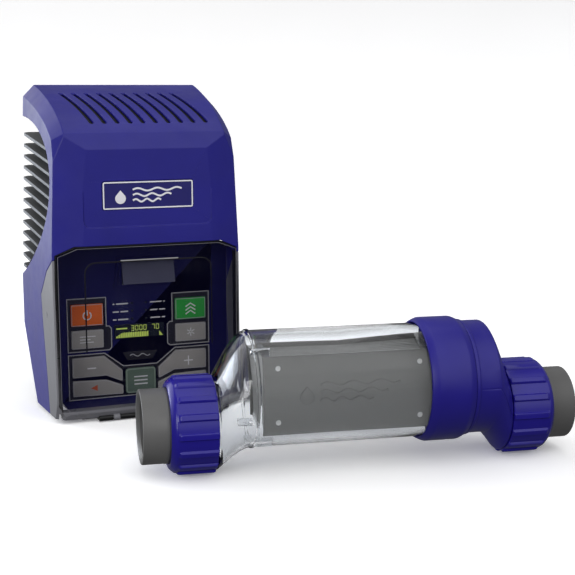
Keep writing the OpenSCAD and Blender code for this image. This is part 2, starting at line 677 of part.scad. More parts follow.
module end_housing() color([0.13, 0.11, 0.46]) in_cell() difference() {
    union() {
        rod_x(tube_r, 302.1, body_end - 2.7, 0, tube_z);
        hull() {
            disc(body_end - 3, tube_r + cone_bead, tube_z, 0.5);
            disc(port_end - 2, male_r + 2.5, port_z, 2);
        }
        rod_x(male_r, port_end - 1, face_right, 0, port_z);
    }
    rod_x(tube_r - 5, 302, body_end - 8.2, 0, tube_z);
    hull() {
        disc(body_end - 8.5, tube_r - 5.5, tube_z, 0.5);
        disc(port_end - 6, port_bore_r + 6, port_z, 0.5);
    }
    rod_x(port_bore_r, port_end - 8, face_right + 1, 0, port_z);
    port_face(face_right, -1) seal_groove();
    rod_y(6.1, 30, 80, connector_x, connector_z);
}
connector_x = 337;
connector_z = tube_z + 10;
module cell_connector() color([0.06, 0.06, 0.07]) in_cell() difference() {
    union() {
        rod_y(6, 48, 58, connector_x, connector_z);
        translate([connector_x, tube_r + 0.4, connector_z]) rotate([-90, 0, 0])
            cylinder(r = 12, h = 6, $fn = 6);
        rod_y(8.5, tube_r + 6, tube_r + 16, connector_x, connector_z);
    }
    rod_y(3.6, 40, 90, connector_x, connector_z);
}

// Union nut with its open end at x = 0 and its thread towards +X, and the tailpiece it holds
module union_nut() difference() {
    union() {
        rod_x(nut_r - rib_h, 6, nut_len, 0, 0);
        rotate([0, 90, 0]) rotate_extrude()
            polygon([[34, 0], [nut_r - 6.5, 0], [nut_r - rib_h, 5], [nut_r - rib_h, 8], [34, 8]]);
        for (i = [0:nut_ribs - 1]) rotate([i * 360 / nut_ribs, 0, 0]) intersection() {
            rod_x(nut_r, 6, nut_len, 0, 0);
            block([6.5, -rib_w / 2, nut_r - 8], [nut_len - 0.5, rib_w / 2, nut_r + 4]);
        }
    }
    rod_x(tail_od / 2 + 0.7, -1, nut_len + 1, 0, 0);
    rod_x(male_r + 0.45, nut_shoulder, nut_len + 1, 0, 0);
}
module tailpiece() difference() {
    union() {
        rod_x(tail_od / 2, 0, 52, 0, 0);
        rod_x(tail_od / 2 + 0.4, 22, 24, 0, 0);
        rod_x(41.5, nut_start + nut_shoulder + 0.4, tail_len, 0, 0);
    }
    rod_x(socket_r, 3, 3 + socket_depth, 0, 0);
    translate([-0.01, 0, 0]) rotate([0, 90, 0]) cylinder(r1 = 33.2, r2 = socket_r, h = 3.02);
    rod_x(port_bore_r - 1, 10, 60, 0, 0);
}
module at_left(x) in_cell() translate([x, 0, port_z]) children();
module at_right(x) in_cell() translate([x, 0, port_z]) mirror([1, 0, 0]) children();
module union_nut_left() color([0.13, 0.08, 0.62]) at_left(nut_start) union_nut();
module union_nut_right() color([0.13, 0.08, 0.62]) at_right(cell_len - nut_start) union_nut();
module tailpiece_left() color([0.47, 0.47, 0.46]) at_left(0) tailpiece();
module tailpiece_right() color([0.47, 0.47, 0.46]) at_right(cell_len) tailpiece();

front_shell();
badge();
vent_screen();
side_trim_left();
side_trim_right();
heat_sink();
rear_chassis();
chassis_foot();
wall_bracket();
bracket_screws();
shell_gasket();
recess_panel();
panel_screws();
cover_seal();
keypad_frame();
button_power();
button_info();
button_minus();
button_back();
button_menu();
button_boost();
button_star();
button_plus();
button_next();
button_mat();
lcd_window();
lcd_module();
indicator_leds();
control_board();
board_screws();
power_board();
transformer();
capacitors();
fuse_holder();
terminal_strip();
power_gland();
cell_socket();
cover();
bottom_rail();
hinge_bar();
hinge_pin();
clear_housing();
outer_plates();
anode_plates();
cathode_plates();
plate_combs();
tie_rods();
terminal_studs();
electrode_carrier();
collar();
collar_seal();
end_housing();
cell_connector();
union_seal_left();
union_seal_right();
union_nut_left();
union_nut_right();
tailpiece_left();
tailpiece_right();
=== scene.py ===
"""Salt chlorine generator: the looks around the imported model, in metres and in its frame."""

import json
import math

import bmesh
import bpy
from mathutils import Matrix, Vector


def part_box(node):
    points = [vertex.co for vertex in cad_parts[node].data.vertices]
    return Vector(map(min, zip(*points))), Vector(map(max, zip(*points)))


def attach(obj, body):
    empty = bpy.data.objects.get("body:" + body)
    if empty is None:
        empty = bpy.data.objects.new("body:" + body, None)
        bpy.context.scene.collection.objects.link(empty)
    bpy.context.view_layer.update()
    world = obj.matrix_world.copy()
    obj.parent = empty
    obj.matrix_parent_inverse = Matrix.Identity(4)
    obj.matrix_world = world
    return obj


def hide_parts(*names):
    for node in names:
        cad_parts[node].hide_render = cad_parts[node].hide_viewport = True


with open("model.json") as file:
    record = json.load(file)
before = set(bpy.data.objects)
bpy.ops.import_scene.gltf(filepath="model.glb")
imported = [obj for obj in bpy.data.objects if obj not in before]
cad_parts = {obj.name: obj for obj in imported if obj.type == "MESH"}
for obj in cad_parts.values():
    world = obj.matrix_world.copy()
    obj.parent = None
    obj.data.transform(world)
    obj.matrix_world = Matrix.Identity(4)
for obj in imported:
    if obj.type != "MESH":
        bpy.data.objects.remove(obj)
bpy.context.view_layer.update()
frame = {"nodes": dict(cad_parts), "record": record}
RECORD = frame["record"]
BODY_OF = {n: b for b, nodes in RECORD["behaviour"]["bodies"].items() for n in nodes}
SLOT_OF = {s["node"]: s["material_slot"] for s in RECORD["subparts"]}
MOUNTS = {m["name"]: m for m in RECORD["mounts"]}
MM = 0.001
WELD_GAP = 2e-6       # points closer than this are one point, in metres


def box_mm(node):
    """Lowest and highest corner of a CAD node, in millimetres."""
    low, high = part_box(node)
    return low / MM, high / MM


# ---------------------------------------------------------------- materials

def linear(red, green, blue):
    """A colour given in display values from 0 to 255, as linear numbers."""
    return tuple((v / 255 / 12.92) if v <= 10 else ((v / 255 + 0.055) / 1.055) ** 2.4
                 for v in (red, green, blue)) + (1.0,)


MIX_FIRST, MIX_SECOND, MIX_RESULT = 6, 7, 2     # the colour sockets of a mix node
NOISE_LOW, NOISE_HIGH = 0.3, 0.7                # most of a noise lies between these
EDGE_LOW, EDGE_HIGH = 0.52, 0.62                # how pointed an edge is where its lightening starts and is full


class Nodes:
    """A material under construction: its node tree and its surface shader."""

    def __init__(self, name):
        self.material = bpy.data.materials.new(name)
        self.material.use_nodes = True
        self.tree = self.material.node_tree
        self.shader = self.tree.nodes["Principled BSDF"]
        self.place = self.add("ShaderNodeTexCoord").outputs["Object"]

    def add(self, kind, links=None, **settings):
        node = self.tree.nodes.new(kind)
        for key, value in settings.items():
            if hasattr(node, key):
                setattr(node, key, value)
            else:
                node.inputs[key.replace("_", " ")].default_value = value
        for key, output in (links or {}).items():
            self.tree.links.new(output, node.inputs[key])
        return node

    def set(self, **values):
        for key, value in values.items():
            self.shader.inputs[key.replace("_", " ")].default_value = value

    def noise(self, scale, detail=3.0, stretch=None):
        place = self.place
        if stretch:
            mapping = self.add("ShaderNodeMapping", {"Vector": place})
            mapping.inputs["Scale"].default_value = stretch
            place = mapping.outputs["Vector"]
        return self.add("ShaderNodeTexNoise", {"Vector": place}, Scale=scale, Detail=detail).outputs["Fac"]

    def blend(self, factor, first, second):
        """Mixes two colours over the spread of a noise."""
        ramp = self.add("ShaderNodeValToRGB", {"Fac": factor})
        ramp.color_ramp.elements[0].position = NOISE_LOW
        ramp.color_ramp.elements[0].color = first
        ramp.color_ramp.elements[1].position = NOISE_HIGH
        ramp.color_ramp.elements[1].color = second
        return ramp.outputs["Color"]

    def ranged(self, factor, low, high):
        """A number that goes from low to high over the spread of a noise."""
        node = self.add("ShaderNodeMapRange", {"Value": factor})
        node.inputs["From Min"].default_value = NOISE_LOW
        node.inputs["From Max"].default_value = NOISE_HIGH
        node.inputs["To Min"].default_value = low
        node.inputs["To Max"].default_value = high
        return node.outputs["Result"]

    def link(self, output, socket):
        self.tree.links.new(output, self.shader.inputs[socket])

    def bump(self, height, strength, distance):
        node = self.add("ShaderNodeBump", {"Height": height}, Strength=strength, Distance=distance)
        self.link(node.outputs["Normal"], "Normal")


def moulded(name, colour, rough, grain=0.25, cell=900.0, tint=0.10, edge_lift=0.25, specular=0.32, coat=0.0):
    """Moulded plastic: fine grain, slight mottling, uneven gloss and pointed edges a little lighter."""
    n = Nodes(name)
    darker = tuple(c * (1 - tint) for c in colour[:3]) + (1.0,)
    lighter = tuple(min(1.0, c * (1 + tint)) for c in colour[:3]) + (1.0,)
    base = n.blend(n.noise(14.0), darker, lighter)
    # pointed edges mix towards a lighter colour, more so the more pointed they are
    edge_tone = tuple(min(1.0, c * 1.25 + 0.03) for c in colour[:3]) + (1.0,)
    edge = n.add("ShaderNodeMapRange", {"Value": n.add("ShaderNodeNewGeometry").outputs["Pointiness"]})
    edge.inputs["From Min"].default_value = EDGE_LOW
    edge.inputs["From Max"].default_value = EDGE_HIGH
    edge.inputs["To Max"].default_value = edge_lift
    mix = n.add("ShaderNodeMix", {"Factor": edge.outputs["Result"]}, data_type="RGBA")
    n.tree.links.new(base, mix.inputs[MIX_FIRST])
    mix.inputs[MIX_SECOND].default_value = edge_tone
    n.link(mix.outputs[MIX_RESULT], "Base Color")
    n.link(n.ranged(n.noise(45.0), rough * 0.85, rough * 1.2), "Roughness")
    n.bump(n.noise(cell, 2.0), grain, 0.00004)
    n.set(Specular_IOR_Level=specular, Coat_Weight=coat, Coat_Roughness=0.08)
    return n.material


def metal(name, colour, rough, stretch=(1.0, 1.0, 1.0), grain=0.3, scale=400.0, metallic=1.0):
    """Cast, drawn or coated metal: streaks or grains in its colour, gloss and relief."""
    n = Nodes(name)
    streaks = n.noise(scale, 4.0, stretch)
    dark = tuple(c * 0.8 for c in colour[:3]) + (1.0,)
    light = tuple(min(1.0, c * 1.15) for c in colour[:3]) + (1.0,)
    n.link(n.blend(streaks, dark, light), "Base Color")
    n.link(n.ranged(streaks, rough * 0.8, rough * 1.25), "Roughness")
    n.bump(streaks, grain, 0.00005)
    n.set(Metallic=metallic)
    return n.material


def clear(name, colour, rough, ior=1.45, alpha=1.0, transmission=1.0, cloud=0.02, specular=0.5):
    """Transparent plastic with faint flow marks."""
    n = Nodes(name)
    other = tuple(c * (1 - cloud * 3) for c in colour[:3]) + (1.0,)
    n.link(n.blend(n.noise(9.0, 2.0, (0.3, 1.0, 1.0)), other, colour), "Base Color")
    n.link(n.ranged(n.noise(30.0), rough * 0.6, rough * 1.4), "Roughness")
    n.bump(n.noise(60.0, 1.0), 0.05, 0.0001)
    n.set(Transmission_Weight=transmission, IOR=ior, Alpha=alpha, Specular_IOR_Level=specular)
    return n.material


def lit(name, colour, strength):
    """A lit display segment or lens, a little uneven."""
    n = Nodes(name)
    dim = tuple(c * 0.75 for c in colour[:3]) + (1.0,)
    shade = n.blend(n.noise(120.0), dim, colour)
    n.link(shade, "Base Color")
    n.link(shade, "Emission Color")
    n.set(Emission_Strength=strength, Roughness=0.35)
    return n.material


FINISHES = {    # slot: kind of material, display colour, roughness, what differs from the usual
    "shell_blue": (moulded, (32, 30, 130), 0.38, {"grain": 0.35}),
    "badge_blue": (moulded, (32, 30, 104), 0.32, {}),
    "screen_black": (moulded, (14, 14, 26), 0.7, {"grain": 0.8}),
    "trim_grey": (moulded, (118, 118, 124), 0.32, {"grain": 0.2}),
    "sink_metal": (metal, (104, 106, 109), 0.5, {"grain": 0.9, "scale": 900.0, "metallic": 0.5}),
    "chassis_black": (moulded, (30, 30, 34), 0.5, {"grain": 0.5}),
    "bracket_steel": (metal, (180, 182, 186), 0.3, {"stretch": (1.0, 1.0, 14.0)}),
    "screw_steel": (metal, (190, 190, 194), 0.25, {"stretch": (6.0, 1.0, 6.0)}),
    "seal_rubber": (moulded, (14, 14, 16), 0.55, {"grain": 0.5, "edge_lift": 0.1}),
    "panel_navy": (moulded, (22, 22, 84), 0.45, {"grain": 0.3, "specular": 0.15}),
    "frame_dark": (moulded, (38, 38, 42), 0.35, {}),
    "hinge_black": (moulded, (12, 12, 14), 0.35, {}),
    "button_orange": (moulded, (238, 108, 26), 0.4, {}),
    "button_green": (moulded, (48, 172, 66), 0.4, {}),
    "button_grey": (moulded, (168, 165, 162), 0.4, {}),
    "button_menu": (moulded, (104, 122, 108), 0.4, {}),
    "lcd_green": (moulded, (18, 26, 34), 0.2, {"grain": 0.05}),
    "led_green": (moulded, (16, 30, 34), 0.15, {"grain": 0.05, "coat": 0.5}),
    "board_green": (moulded, (24, 92, 44), 0.45, {}),
    "coil_copper": (metal, (150, 92, 50), 0.4, {"stretch": (1.0, 1.0, 30.0)}),
    "can_dark": (moulded, (40, 46, 66), 0.35, {}),
    "cover_clear": (clear, (16, 15, 48), 0.06, {"alpha": 0.16, "transmission": 0.0, "specular": 0.25}),
    "cell_clear": (clear, (246, 248, 250), 0.025, {}),
    "titanium": (metal, (98, 98, 96), 0.42, {"stretch": (0.4, 1.0, 8.0), "metallic": 0.3}),
    "anode_dark": (metal, (56, 56, 56), 0.55, {"grain": 0.8, "metallic": 0.4}),
    "fitting_blue": (moulded, (34, 28, 132), 0.34, {"grain": 0.25}),
    "nut_blue": (moulded, (30, 22, 136), 0.22, {"grain": 0.1, "coat": 0.15}),
    "pvc_grey": (moulded, (96, 96, 96), 0.34, {"grain": 0.15}),
}
MATERIALS = {slot: kind(slot, linear(*colour), rough, **extra)
             for slot, (kind, colour, rough, extra) in FINISHES.items()}
SIGN_WHITE = moulded("sign_white", linear(232, 232, 238), 0.4, grain=0.1)
# pale grey: the painted highlight round the edges of most keys, and pale outlines and print elsewhere
RIM_PALE = moulded("rim_pale", linear(176, 176, 180), 0.3, grain=0.1)
# painted highlight round the menu key's edge
MENU_EDGE_HIGHLIGHT = moulded("rim_menu", linear(134, 152, 138), 0.35)
# grey for the painted highlight along the tinted cover's edge
COVER_EDGE_HIGHLIGHT = moulded("rim_soft", linear(104, 104, 112), 0.35, grain=0.1)
SIGN_ORANGE = moulded("sign_orange", linear(196, 88, 50), 0.4, grain=0.1)
SCOOP_GREY = moulded("scoop_grey", linear(34, 35, 58), 0.4, grain=0.1, specular=0.15)
DISPLAY_LIT = lit("display_lit", linear(186, 208, 92), 0.5)
BRIGHT_TITANIUM = metal("bright_titanium", linear(196, 196, 194), 0.35, (0.4, 1.0, 8.0), metallic=0.4)


# ---------------------------------------------------------------- mesh helpers

def shade(mesh, angle):
    """Smooth shading that stays sharp across edges over the angle, in degrees."""
    for face in mesh.polygons:
        face.use_smooth = True
    mesh.set_sharp_from_angle(angle=math.radians(angle))


def to_object(name, bm):
    """A linked object from a mesh under construction."""
    bmesh.ops.remove_doubles(bm, verts=bm.verts, dist=1e-6)
    bmesh.ops.recalc_face_normals(bm, faces=bm.faces)
    mesh = bpy.data.meshes.new(name)
    bm.to_mesh(mesh)
    bm.free()
    obj = bpy.data.objects.new(name, mesh)
    bpy.context.scene.collection.objects.link(obj)
    return obj


def settle(obj):
    """Applies the object's modifiers to its mesh."""
    bpy.context.view_layer.update()
    mesh = bpy.data.meshes.new_from_object(obj.evaluated_get(bpy.context.evaluated_depsgraph_get()))
    obj.modifiers.clear()
    old = obj.data
    obj.data = mesh
    bpy.data.meshes.remove(old)


def round_edges(obj, width, segments=2, angle=20):
    """Rounds the edges sharper than the angle, with a radius in millimetres."""
    bevel = obj.modifiers.new("edges", "BEVEL")
    bevel.width = width * MM
    bevel.segments = segments
    bevel.limit_method = "ANGLE"
    bevel.angle_limit = math.radians(angle)
    bevel.use_clamp_overlap = False
    bevel.miter_outer = "MITER_ARC"
    settle(obj)


def flatten(obj):
    """Weights the shading by area, so that large faces look flat and the rounding lies in the edges."""
    weigh = obj.modifiers.new("weigh", "WEIGHTED_NORMAL")
    weigh.keep_sharp = True
    settle(obj)


def dress(obj, node, material=None, stands_for=(), smooth=35, flat=False):
    """Gives a piece its finish and lets it ride with the body of a CAD node."""
    obj.data.materials.clear()
    obj.data.materials.append(material or MATERIALS[SLOT_OF[node]])
    shade(obj.data, smooth)
    if flat:
        flatten(obj)
    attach(obj, BODY_OF[node])
    if stands_for:
        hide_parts(*stands_for)


def skin(bm, rows):
    """Faces round and between rows of points, with the last row joined to the first."""
    count = len(rows[0])
    for k, a in enumerate(rows):
        b = rows[(k + 1) % len(rows)]
        for i in range(count):
            j = (i + 1) % count
            bm.faces.new([a[i], a[j], b[j], b[i]])


def prism(bm, outline, place):
    """A closed solid over an outline: place gives a point from (u, v, 0) or (u, v, 1)."""
    rings = [[bm.verts.new(place(u, v, end)) for u, v in outline] for end in (0, 1)]
    count = len(outline)
    for i in range(count):
        j = (i + 1) % count
        bm.faces.new([rings[0][i], rings[0][j], rings[1][j], rings[1][i]])
    for ring in rings:
        bm.faces.new(ring)


def slab(bm, outline, y0, y1):
    """A plate in X and Z, in millimetres, between two depths."""
    prism(bm, outline, lambda u, v, end: Vector((u, (y0, y1)[end], v)) * MM)


def bar_x(bm, outline, x0, x1):
    """A profile in Y and Z, in millimetres, carried along X."""
    prism(bm, outline, lambda u, v, end: Vector(((x0, x1)[end], u, v)) * MM)


def ring_slab(bm, outer, inner, y0, y1, bend=lambda x: 0):
    """A flat frame between two outlines with as many points; bend moves it back at a place in X."""
    skin(bm, [[bm.verts.new(Vector((u, y + bend(u), v)) * MM) for u, v in line]
              for line, y in ((outer, y0), (outer, y1), (inner, y1), (inner, y0))])


def rounded(points, radius, steps=5):
    """An outline with each corner rounded, by at most a third of the shorter side next to it."""
    made = []
    count = len(points)
    for i in range(count):
        p = Vector(points[i])
        to_last = Vector(points[i - 1]) - p
        to_next = Vector(points[(i + 1) % count]) - p
        turn = to_last.angle(to_next)
        reach = min(radius / math.tan(turn / 2), to_last.length / 3, to_next.length / 3)
        start = p + to_last.normalized() * reach
        end = p + to_next.normalized() * reach
        for k in range(steps + 1):
            t = k / steps
            made.append(tuple(start * (1 - t) ** 2 + p * 2 * t * (1 - t) + end * t ** 2))
    return made


def rectangle(x0, z0, x1, z1, radius, steps=5):
    return rounded([(x0, z0), (x1, z0), (x1, z1), (x0, z1)], radius, steps)


def inset(points, distance):
    """An outline moved inwards by a distance."""
    count = len(points)
    area = sum(points[i][0] * points[(i + 1) % count][1] - points[(i + 1) % count][0] * points[i][1]
               for i in range(count))
    side = 1 if area > 0 else -1
    made = []
    for i in range(count):
        p = Vector(points[i])
        u = (p - Vector(points[i - 1])).normalized()
        v = (Vector(points[(i + 1) % count]) - p).normalized()
        nu, nv = Vector((-u.y, u.x)) * side, Vector((-v.y, v.x)) * side
        made.append(tuple(p + (nu + nv) * distance / (1 + max(-0.5, nu.dot(nv)))))
    return made


def mirrored(points):
    return [(-x, z) for x, z in points]


def cubic(a, b, c, d, steps):
    """Points of a cubic curve through four control points."""
    a, b, c, d = (Vector(p) for p in (a, b, c, d))
    return [tuple(a * (1 - t) ** 3 + b * 3 * t * (1 - t) ** 2 + c * 3 * t * t * (1 - t) + d * t ** 3)
            for t in (k / steps for k in range(steps + 1))]


def carve(obj, cutter):
    """Cuts one solid with another, which is then removed."""
    cut = obj.modifiers.new("cut", "BOOLEAN")
    cut.object = cutter
    cut.operation = "DIFFERENCE"
    cut.solver = "EXACT"
    cut.use_self = True
    settle(obj)
    bpy.data.objects.remove(cutter)


def keep_inside(bm, point, normal):
    """Cuts away everything beyond a plane and closes the cut."""
    normal = Vector(normal).normalized()
    bmesh.ops.bisect_plane(bm, geom=bm.verts[:] + bm.edges[:] + bm.faces[:], dist=1e-7,
                           plane_co=Vector(point) * MM, plane_no=normal, clear_outer=True)
    bmesh.ops.holes_fill(bm, edges=[e for e in bm.edges if e.is_boundary], sides=0)


def even_angles(count):
    return [2 * math.pi * i / count for i in range(count)]


def loft(bm, sections, angles, swell=lambda k, a: 0):
    """A closed skin over round sections (x, z, radius) along X, with its points at the given angles."""
    rows = []
    for k, (x, z, radius) in enumerate(sections):
        row = []
        for a in angles:
            r = radius + swell(k, a)
            row.append(bm.verts.new(Vector((x, r * math.cos(a), z + r * math.sin(a))) * MM))
        rows.append(row)
    skin(bm, rows)


def refined(node, width, segments=2, name=None, smooth=35):
    """A copy of a CAD node with its edges rounded, which stands for the node."""
    obj = bpy.data.objects.new(name or node + "_moulded", frame["nodes"][node].data.copy())
    bpy.context.scene.collection.objects.link(obj)
    bm = bmesh.new()
    bm.from_mesh(obj.data)
    bmesh.ops.remove_doubles(bm, verts=bm.verts, dist=WELD_GAP)
    bmesh.ops.dissolve_limit(bm, angle_limit=math.radians(0.5), verts=bm.verts, edges=bm.edges)
    bm.to_mesh(obj.data)
    bm.free()
    if width:
        round_edges(obj, width, segments)
    dress(obj, node, stands_for=[node], smooth=smooth, flat=bool(width))


# ---------------------------------------------------------------- signs

def stroke(bm, points, width, y0, y1):
    """A flat line of even width along points in X and Z."""
    half = width / 2
    left, right = [], []
    for i, p in enumerate(points):
        back, ahead = Vector(points[max(i - 1, 0)]), Vector(points[min(i + 1, len(points) - 1)])
        d = (ahead - back).normalized()
        side = Vector((-d.y, d.x)) * half
        left.append(tuple(Vector(p) + side))
        right.append(tuple(Vector(p) - side))
    slab(bm, left + right[::-1], y0, y1)


def arc(x, z, radius, start, end, steps=20):
    """Points of an arc about (x, z), from one angle in degrees to another."""
    turns = (math.radians(start + (end - start) * k / steps) for k in range(steps + 1))
    return [(x + radius * math.cos(a), z + radius * math.sin(a)) for a in turns]


def drop_outline(x, z, size):
    """A water drop standing on its round end."""
    return [(x, z + size * 1.5)] + arc(x, z, size, 150, 390, 18)


def wave(x0, x1, z, height, waves, steps=40):
    return [(x0 + (x1 - x0) * k / steps, z + height * math.sin(2 * math.pi * waves * k / steps))
            for k in range(steps + 1)]


# ---------------------------------------------------------------- control box shell

BOX_LOW, BOX_HIGH = box_mm("front_shell")
FRONT, BACK, TOP, LIP = BOX_LOW.y, BOX_HIGH.y, BOX_HIGH.z, BOX_LOW.z
FLARE = 0.0734          # how much the sides spread for each millimetre of depth
LEAN, LEAN_FROM = 0.045, 190    # how much the sides lean in for each millimetre of height, and from where
HALF_WIDTH = BOX_HIGH.x - FLARE * (BACK - FRONT)
WALL = 3                # of the moulded shell
BEVEL_WIDTH, BEVEL_DEPTH, BEVEL_LEAN = 12.7, 3, 0.3     # of the front's two side bevels
TOP_CHAMFER = 11        # from the side to the edge of the curved top
BAND_LOW, BAND_HIGH = 302, 322      # heights of the sloping band between the front and the top
COVER_HALF = box_mm("cover")[1].x
SEAM = box_mm("cover")[1].z
SEAM_DROP = 8.4
RAIL_TOP = box_mm("cover")[0].z
PAST = 130              # reaches past the widest part of the box
UNDERSIDE = 93          # height of the sloping underside at the back, and its reach at the foot
FOOT_CORNER, TOP_CORNER = 9, 21     # cut off the cover's lower and upper corners
TOP_CURVE = [(FRONT, BAND_LOW)] + cubic((FRONT + 8, BAND_HIGH), (FRONT + 30, TOP - 32),
                                        (FRONT + 80, TOP - 12), (BACK, TOP), 20)


def side_half(y, z):
    """Half the width of the box at a depth and a height."""
    return HALF_WIDTH + FLARE * (y - FRONT) - LEAN * max(0, z - LEAN_FROM)


def outward(i):
    """The outward normal of the top curve at one of its points, in Y and Z."""
    a, b = Vector(TOP_CURVE[max(i - 1, 0)]), Vector(TOP_CURVE[min(i + 1, len(TOP_CURVE) - 1)])
    d = (b - a).normalized()
    return Vector((-d.y, d.x))


def box_form(t, open_ended=False):
    """The outer form of the box, moved inwards by t; open_ended runs past its back and foot."""
    past = 20 if open_ended else 0
    top = [tuple(Vector(p) - outward(i) * t) for i, p in enumerate(TOP_CURVE)]
    tail = [(BACK, UNDERSIDE), (FRONT + UNDERSIDE, LIP)]
    if open_ended:
        tail = [(BACK + past, TOP - t), (BACK + past, LIP - past)]
    bm = bmesh.new()
    bar_x(bm, [(FRONT + t, LIP - past)] + top + tail, -PAST, PAST)
    bmesh.ops.recalc_face_normals(bm, faces=bm.faces)
    for s in (1, -1):
        keep_inside(bm, (s * (side_half(FRONT, 0) - t), FRONT, 0), (s, -FLARE, 0))
        keep_inside(bm, (s * (side_half(FRONT, 0) - t), FRONT, LEAN_FROM), (s, -FLARE, LEAN))
        keep_inside(bm, (s * (HALF_WIDTH - BEVEL_WIDTH - t), FRONT + t, 0),
                    (s * BEVEL_DEPTH, -BEVEL_WIDTH, BEVEL_LEAN))
        for i in range(len(TOP_CURVE) - 1):
            y, z = TOP_CURVE[i]
            step = (Vector(TOP_CURVE[i + 1]) - Vector(TOP_CURVE[i])).normalized()
            n = Vector((s, -step.y, step.x))
            point = Vector((s * (side_half(y, z) - TOP_CHAMFER), y, z)) - n.normalized() * t
            keep_inside(bm, point, n)
    return to_object("box_form", bm)


def cover_outline(g):
    """The outline of the cover in X and Z, grown by g."""
    hw, low, top = COVER_HALF + g, RAIL_TOP - g, SEAM + g
    side_top = SEAM - SEAM_DROP + g * 0.4
    foot_z, foot_x, top_x = low + FOOT_CORNER, hw - FOOT_CORNER, hw - TOP_CORNER
    return [(-hw, foot_z), (-foot_x, low), (foot_x, low), (hw, foot_z),
            (hw, side_top), (top_x, top), (-top_x, top), (-hw, side_top)]


TRIM_OUTLINE = [(FRONT - 2, SEAM - SEAM_DROP + 1.6), (FRONT + 32, 170), (FRONT + 60, 140),
                (FRONT + 55, 104), (FRONT + 45, 54), (FRONT + 37, LIP - 1), (FRONT - 2, LIP - 1)]
VENTS, VENT_PITCH, VENT_TURN = 10, 14.6, 13
VENT_HALF, VENT_R, VENT_BACK = 42, 2.7, 62      # half length, end radius, depth of the slots' middle
VENT_CUT = (300, 400)   # the slots are cut between these heights
PANEL_FIELD = (-73, 219, 73, BAND_LOW + 4)      # the shallow field on the front
BADGE_SEAT = (-52, 238, 52, 269.5)
FOOT_OPENING_HALF, FOOT_OPENING_DEPTH = 90, 100
WINDOW_LOW, WINDOW_HIGH = 150, 338      # heights of the arched side windows at the back


def vent_cutter(bm, i):
    """One slanting slot with round ends, cut down through the curved top."""
    x = (i - (VENTS - 1) / 2) * VENT_PITCH
    turn = Matrix.Rotation(math.radians(VENT_TURN), 2)
    reach = VENT_HALF - VENT_R
    ends = arc(0, reach, VENT_R, 0, 180, 8) + arc(0, -reach, VENT_R, 180, 360, 8)
    outline = [turn @ Vector(p) for p in ends]
    prism(bm, outline, lambda u, v, end: Vector((x + u, FRONT + VENT_BACK + v, VENT_CUT[end])) * MM)


def shell_openings():
    """A cutter for the keypad, the cheeks, the open foot, the arched side windows and the vents."""
    bm = bmesh.new()
    slab(bm, cover_outline(1.9), FRONT - 5, FRONT + 12)
    bar_x(bm, TRIM_OUTLINE, -PAST, PAST)
    foot = [(-FOOT_OPENING_HALF, -5), (FOOT_OPENING_HALF, -5),
            (FOOT_OPENING_HALF, LIP + WALL + 6), (-FOOT_OPENING_HALF, LIP + WALL + 6)]
    slab(bm, foot, FRONT - 6, FRONT + FOOT_OPENING_DEPTH)
    window = cubic((BACK + 4, WINDOW_HIGH), (FRONT - 15, WINDOW_HIGH - 8), (FRONT - 28, WINDOW_LOW + 70),
                   (BACK + 4, WINDOW_LOW), 28)
    bar_x(bm, window + [(BACK + 30, WINDOW_LOW), (BACK + 30, WINDOW_HIGH)], -PAST - 1, PAST + 1)
    for i in range(VENTS):
        vent_cutter(bm, i)
    return to_object("openings", bm)


def blue_shell():
    """The moulded front shell: its form hollowed, cut open, and set back a little for the badge."""
    shell = box_form(0)
    carve(shell, box_form(WALL, True))
    carve(shell, shell_openings())
    bm = bmesh.new()
    slab(bm, rectangle(*PANEL_FIELD, 9), FRONT - 1, FRONT + 1)
    slab(bm, rectangle(*BADGE_SEAT, 3), FRONT - 2, FRONT + 1.8)
    carve(shell, to_object("seats", bm))
    round_edges(shell, 0.8, 3, 12)
    shell.name = "blue_shell"
    dress(shell, "front_shell", stands_for=["front_shell"], smooth=40, flat=True)


def drop_and_waves(bm, drop, drop_size, waves, first_z, pitch, height, turns, width, y0, y1):
    """A generic water mark: a drop, and waves given by where they start and end, one below the other."""
    slab(bm, drop_outline(*drop, drop_size), y0, y1)
    for k, (start, end) in enumerate(waves):
        stroke(bm, wave(start, end, first_z - pitch * k, height, turns), width, y0, y1)


def badge():
    """The plate on the front with its pale rim and water mark."""
    refined("badge", 0.25, name="badge_plate")
    low, high = box_mm("badge")
    outline = rectangle(low.x, low.z, high.x, high.z, 2.6)
    bm = bmesh.new()
    ring_slab(bm, inset(outline, 0.35), inset(outline, 1.75), low.y - 0.25, low.y + 0.3)
    dress(to_object("badge_rim", bm), "badge", SIGN_WHITE)
    middle = (low.z + high.z) / 2
    start = low.x + 34
    bm = bmesh.new()
    drop_and_waves(bm, (low.x + 20, middle - 3.4), 6, [(start, start + reach) for reach in (56, 44, 32)],
                   middle + 6, 6, 1.5, 2.5, 2.0, low.y + 0.1, low.y + 0.6)
    sign = to_object("badge_sign", bm)
    round_edges(sign, 0.12, 1, 40)
    dress(sign, "badge", SIGN_WHITE)


# ---------------------------------------------------------------- cover

def front_depth(x):
    """How far the front surface lies behind the front plane at a place across the box."""
    return max(0.0, abs(x) - (HALF_WIDTH - BEVEL_WIDTH)) * BEVEL_DEPTH / BEVEL_WIDTH


def split_at_bevels(outline):
    """An outline with extra points where it crosses the two lines at which the front bends back."""
    corner = HALF_WIDTH - BEVEL_WIDTH
    made = []
    for a, b in zip(outline, outline[1:] + outline[:1]):
        made.append(a)
        for x in sorted((-corner, corner), key=lambda c: abs(c - a[0])):
            if min(a[0], b[0]) < x < max(a[0], b[0]):
                t = (x - a[0]) / (b[0] - a[0])
                made.append((x, a[1] + (b[1] - a[1]) * t))
    return made


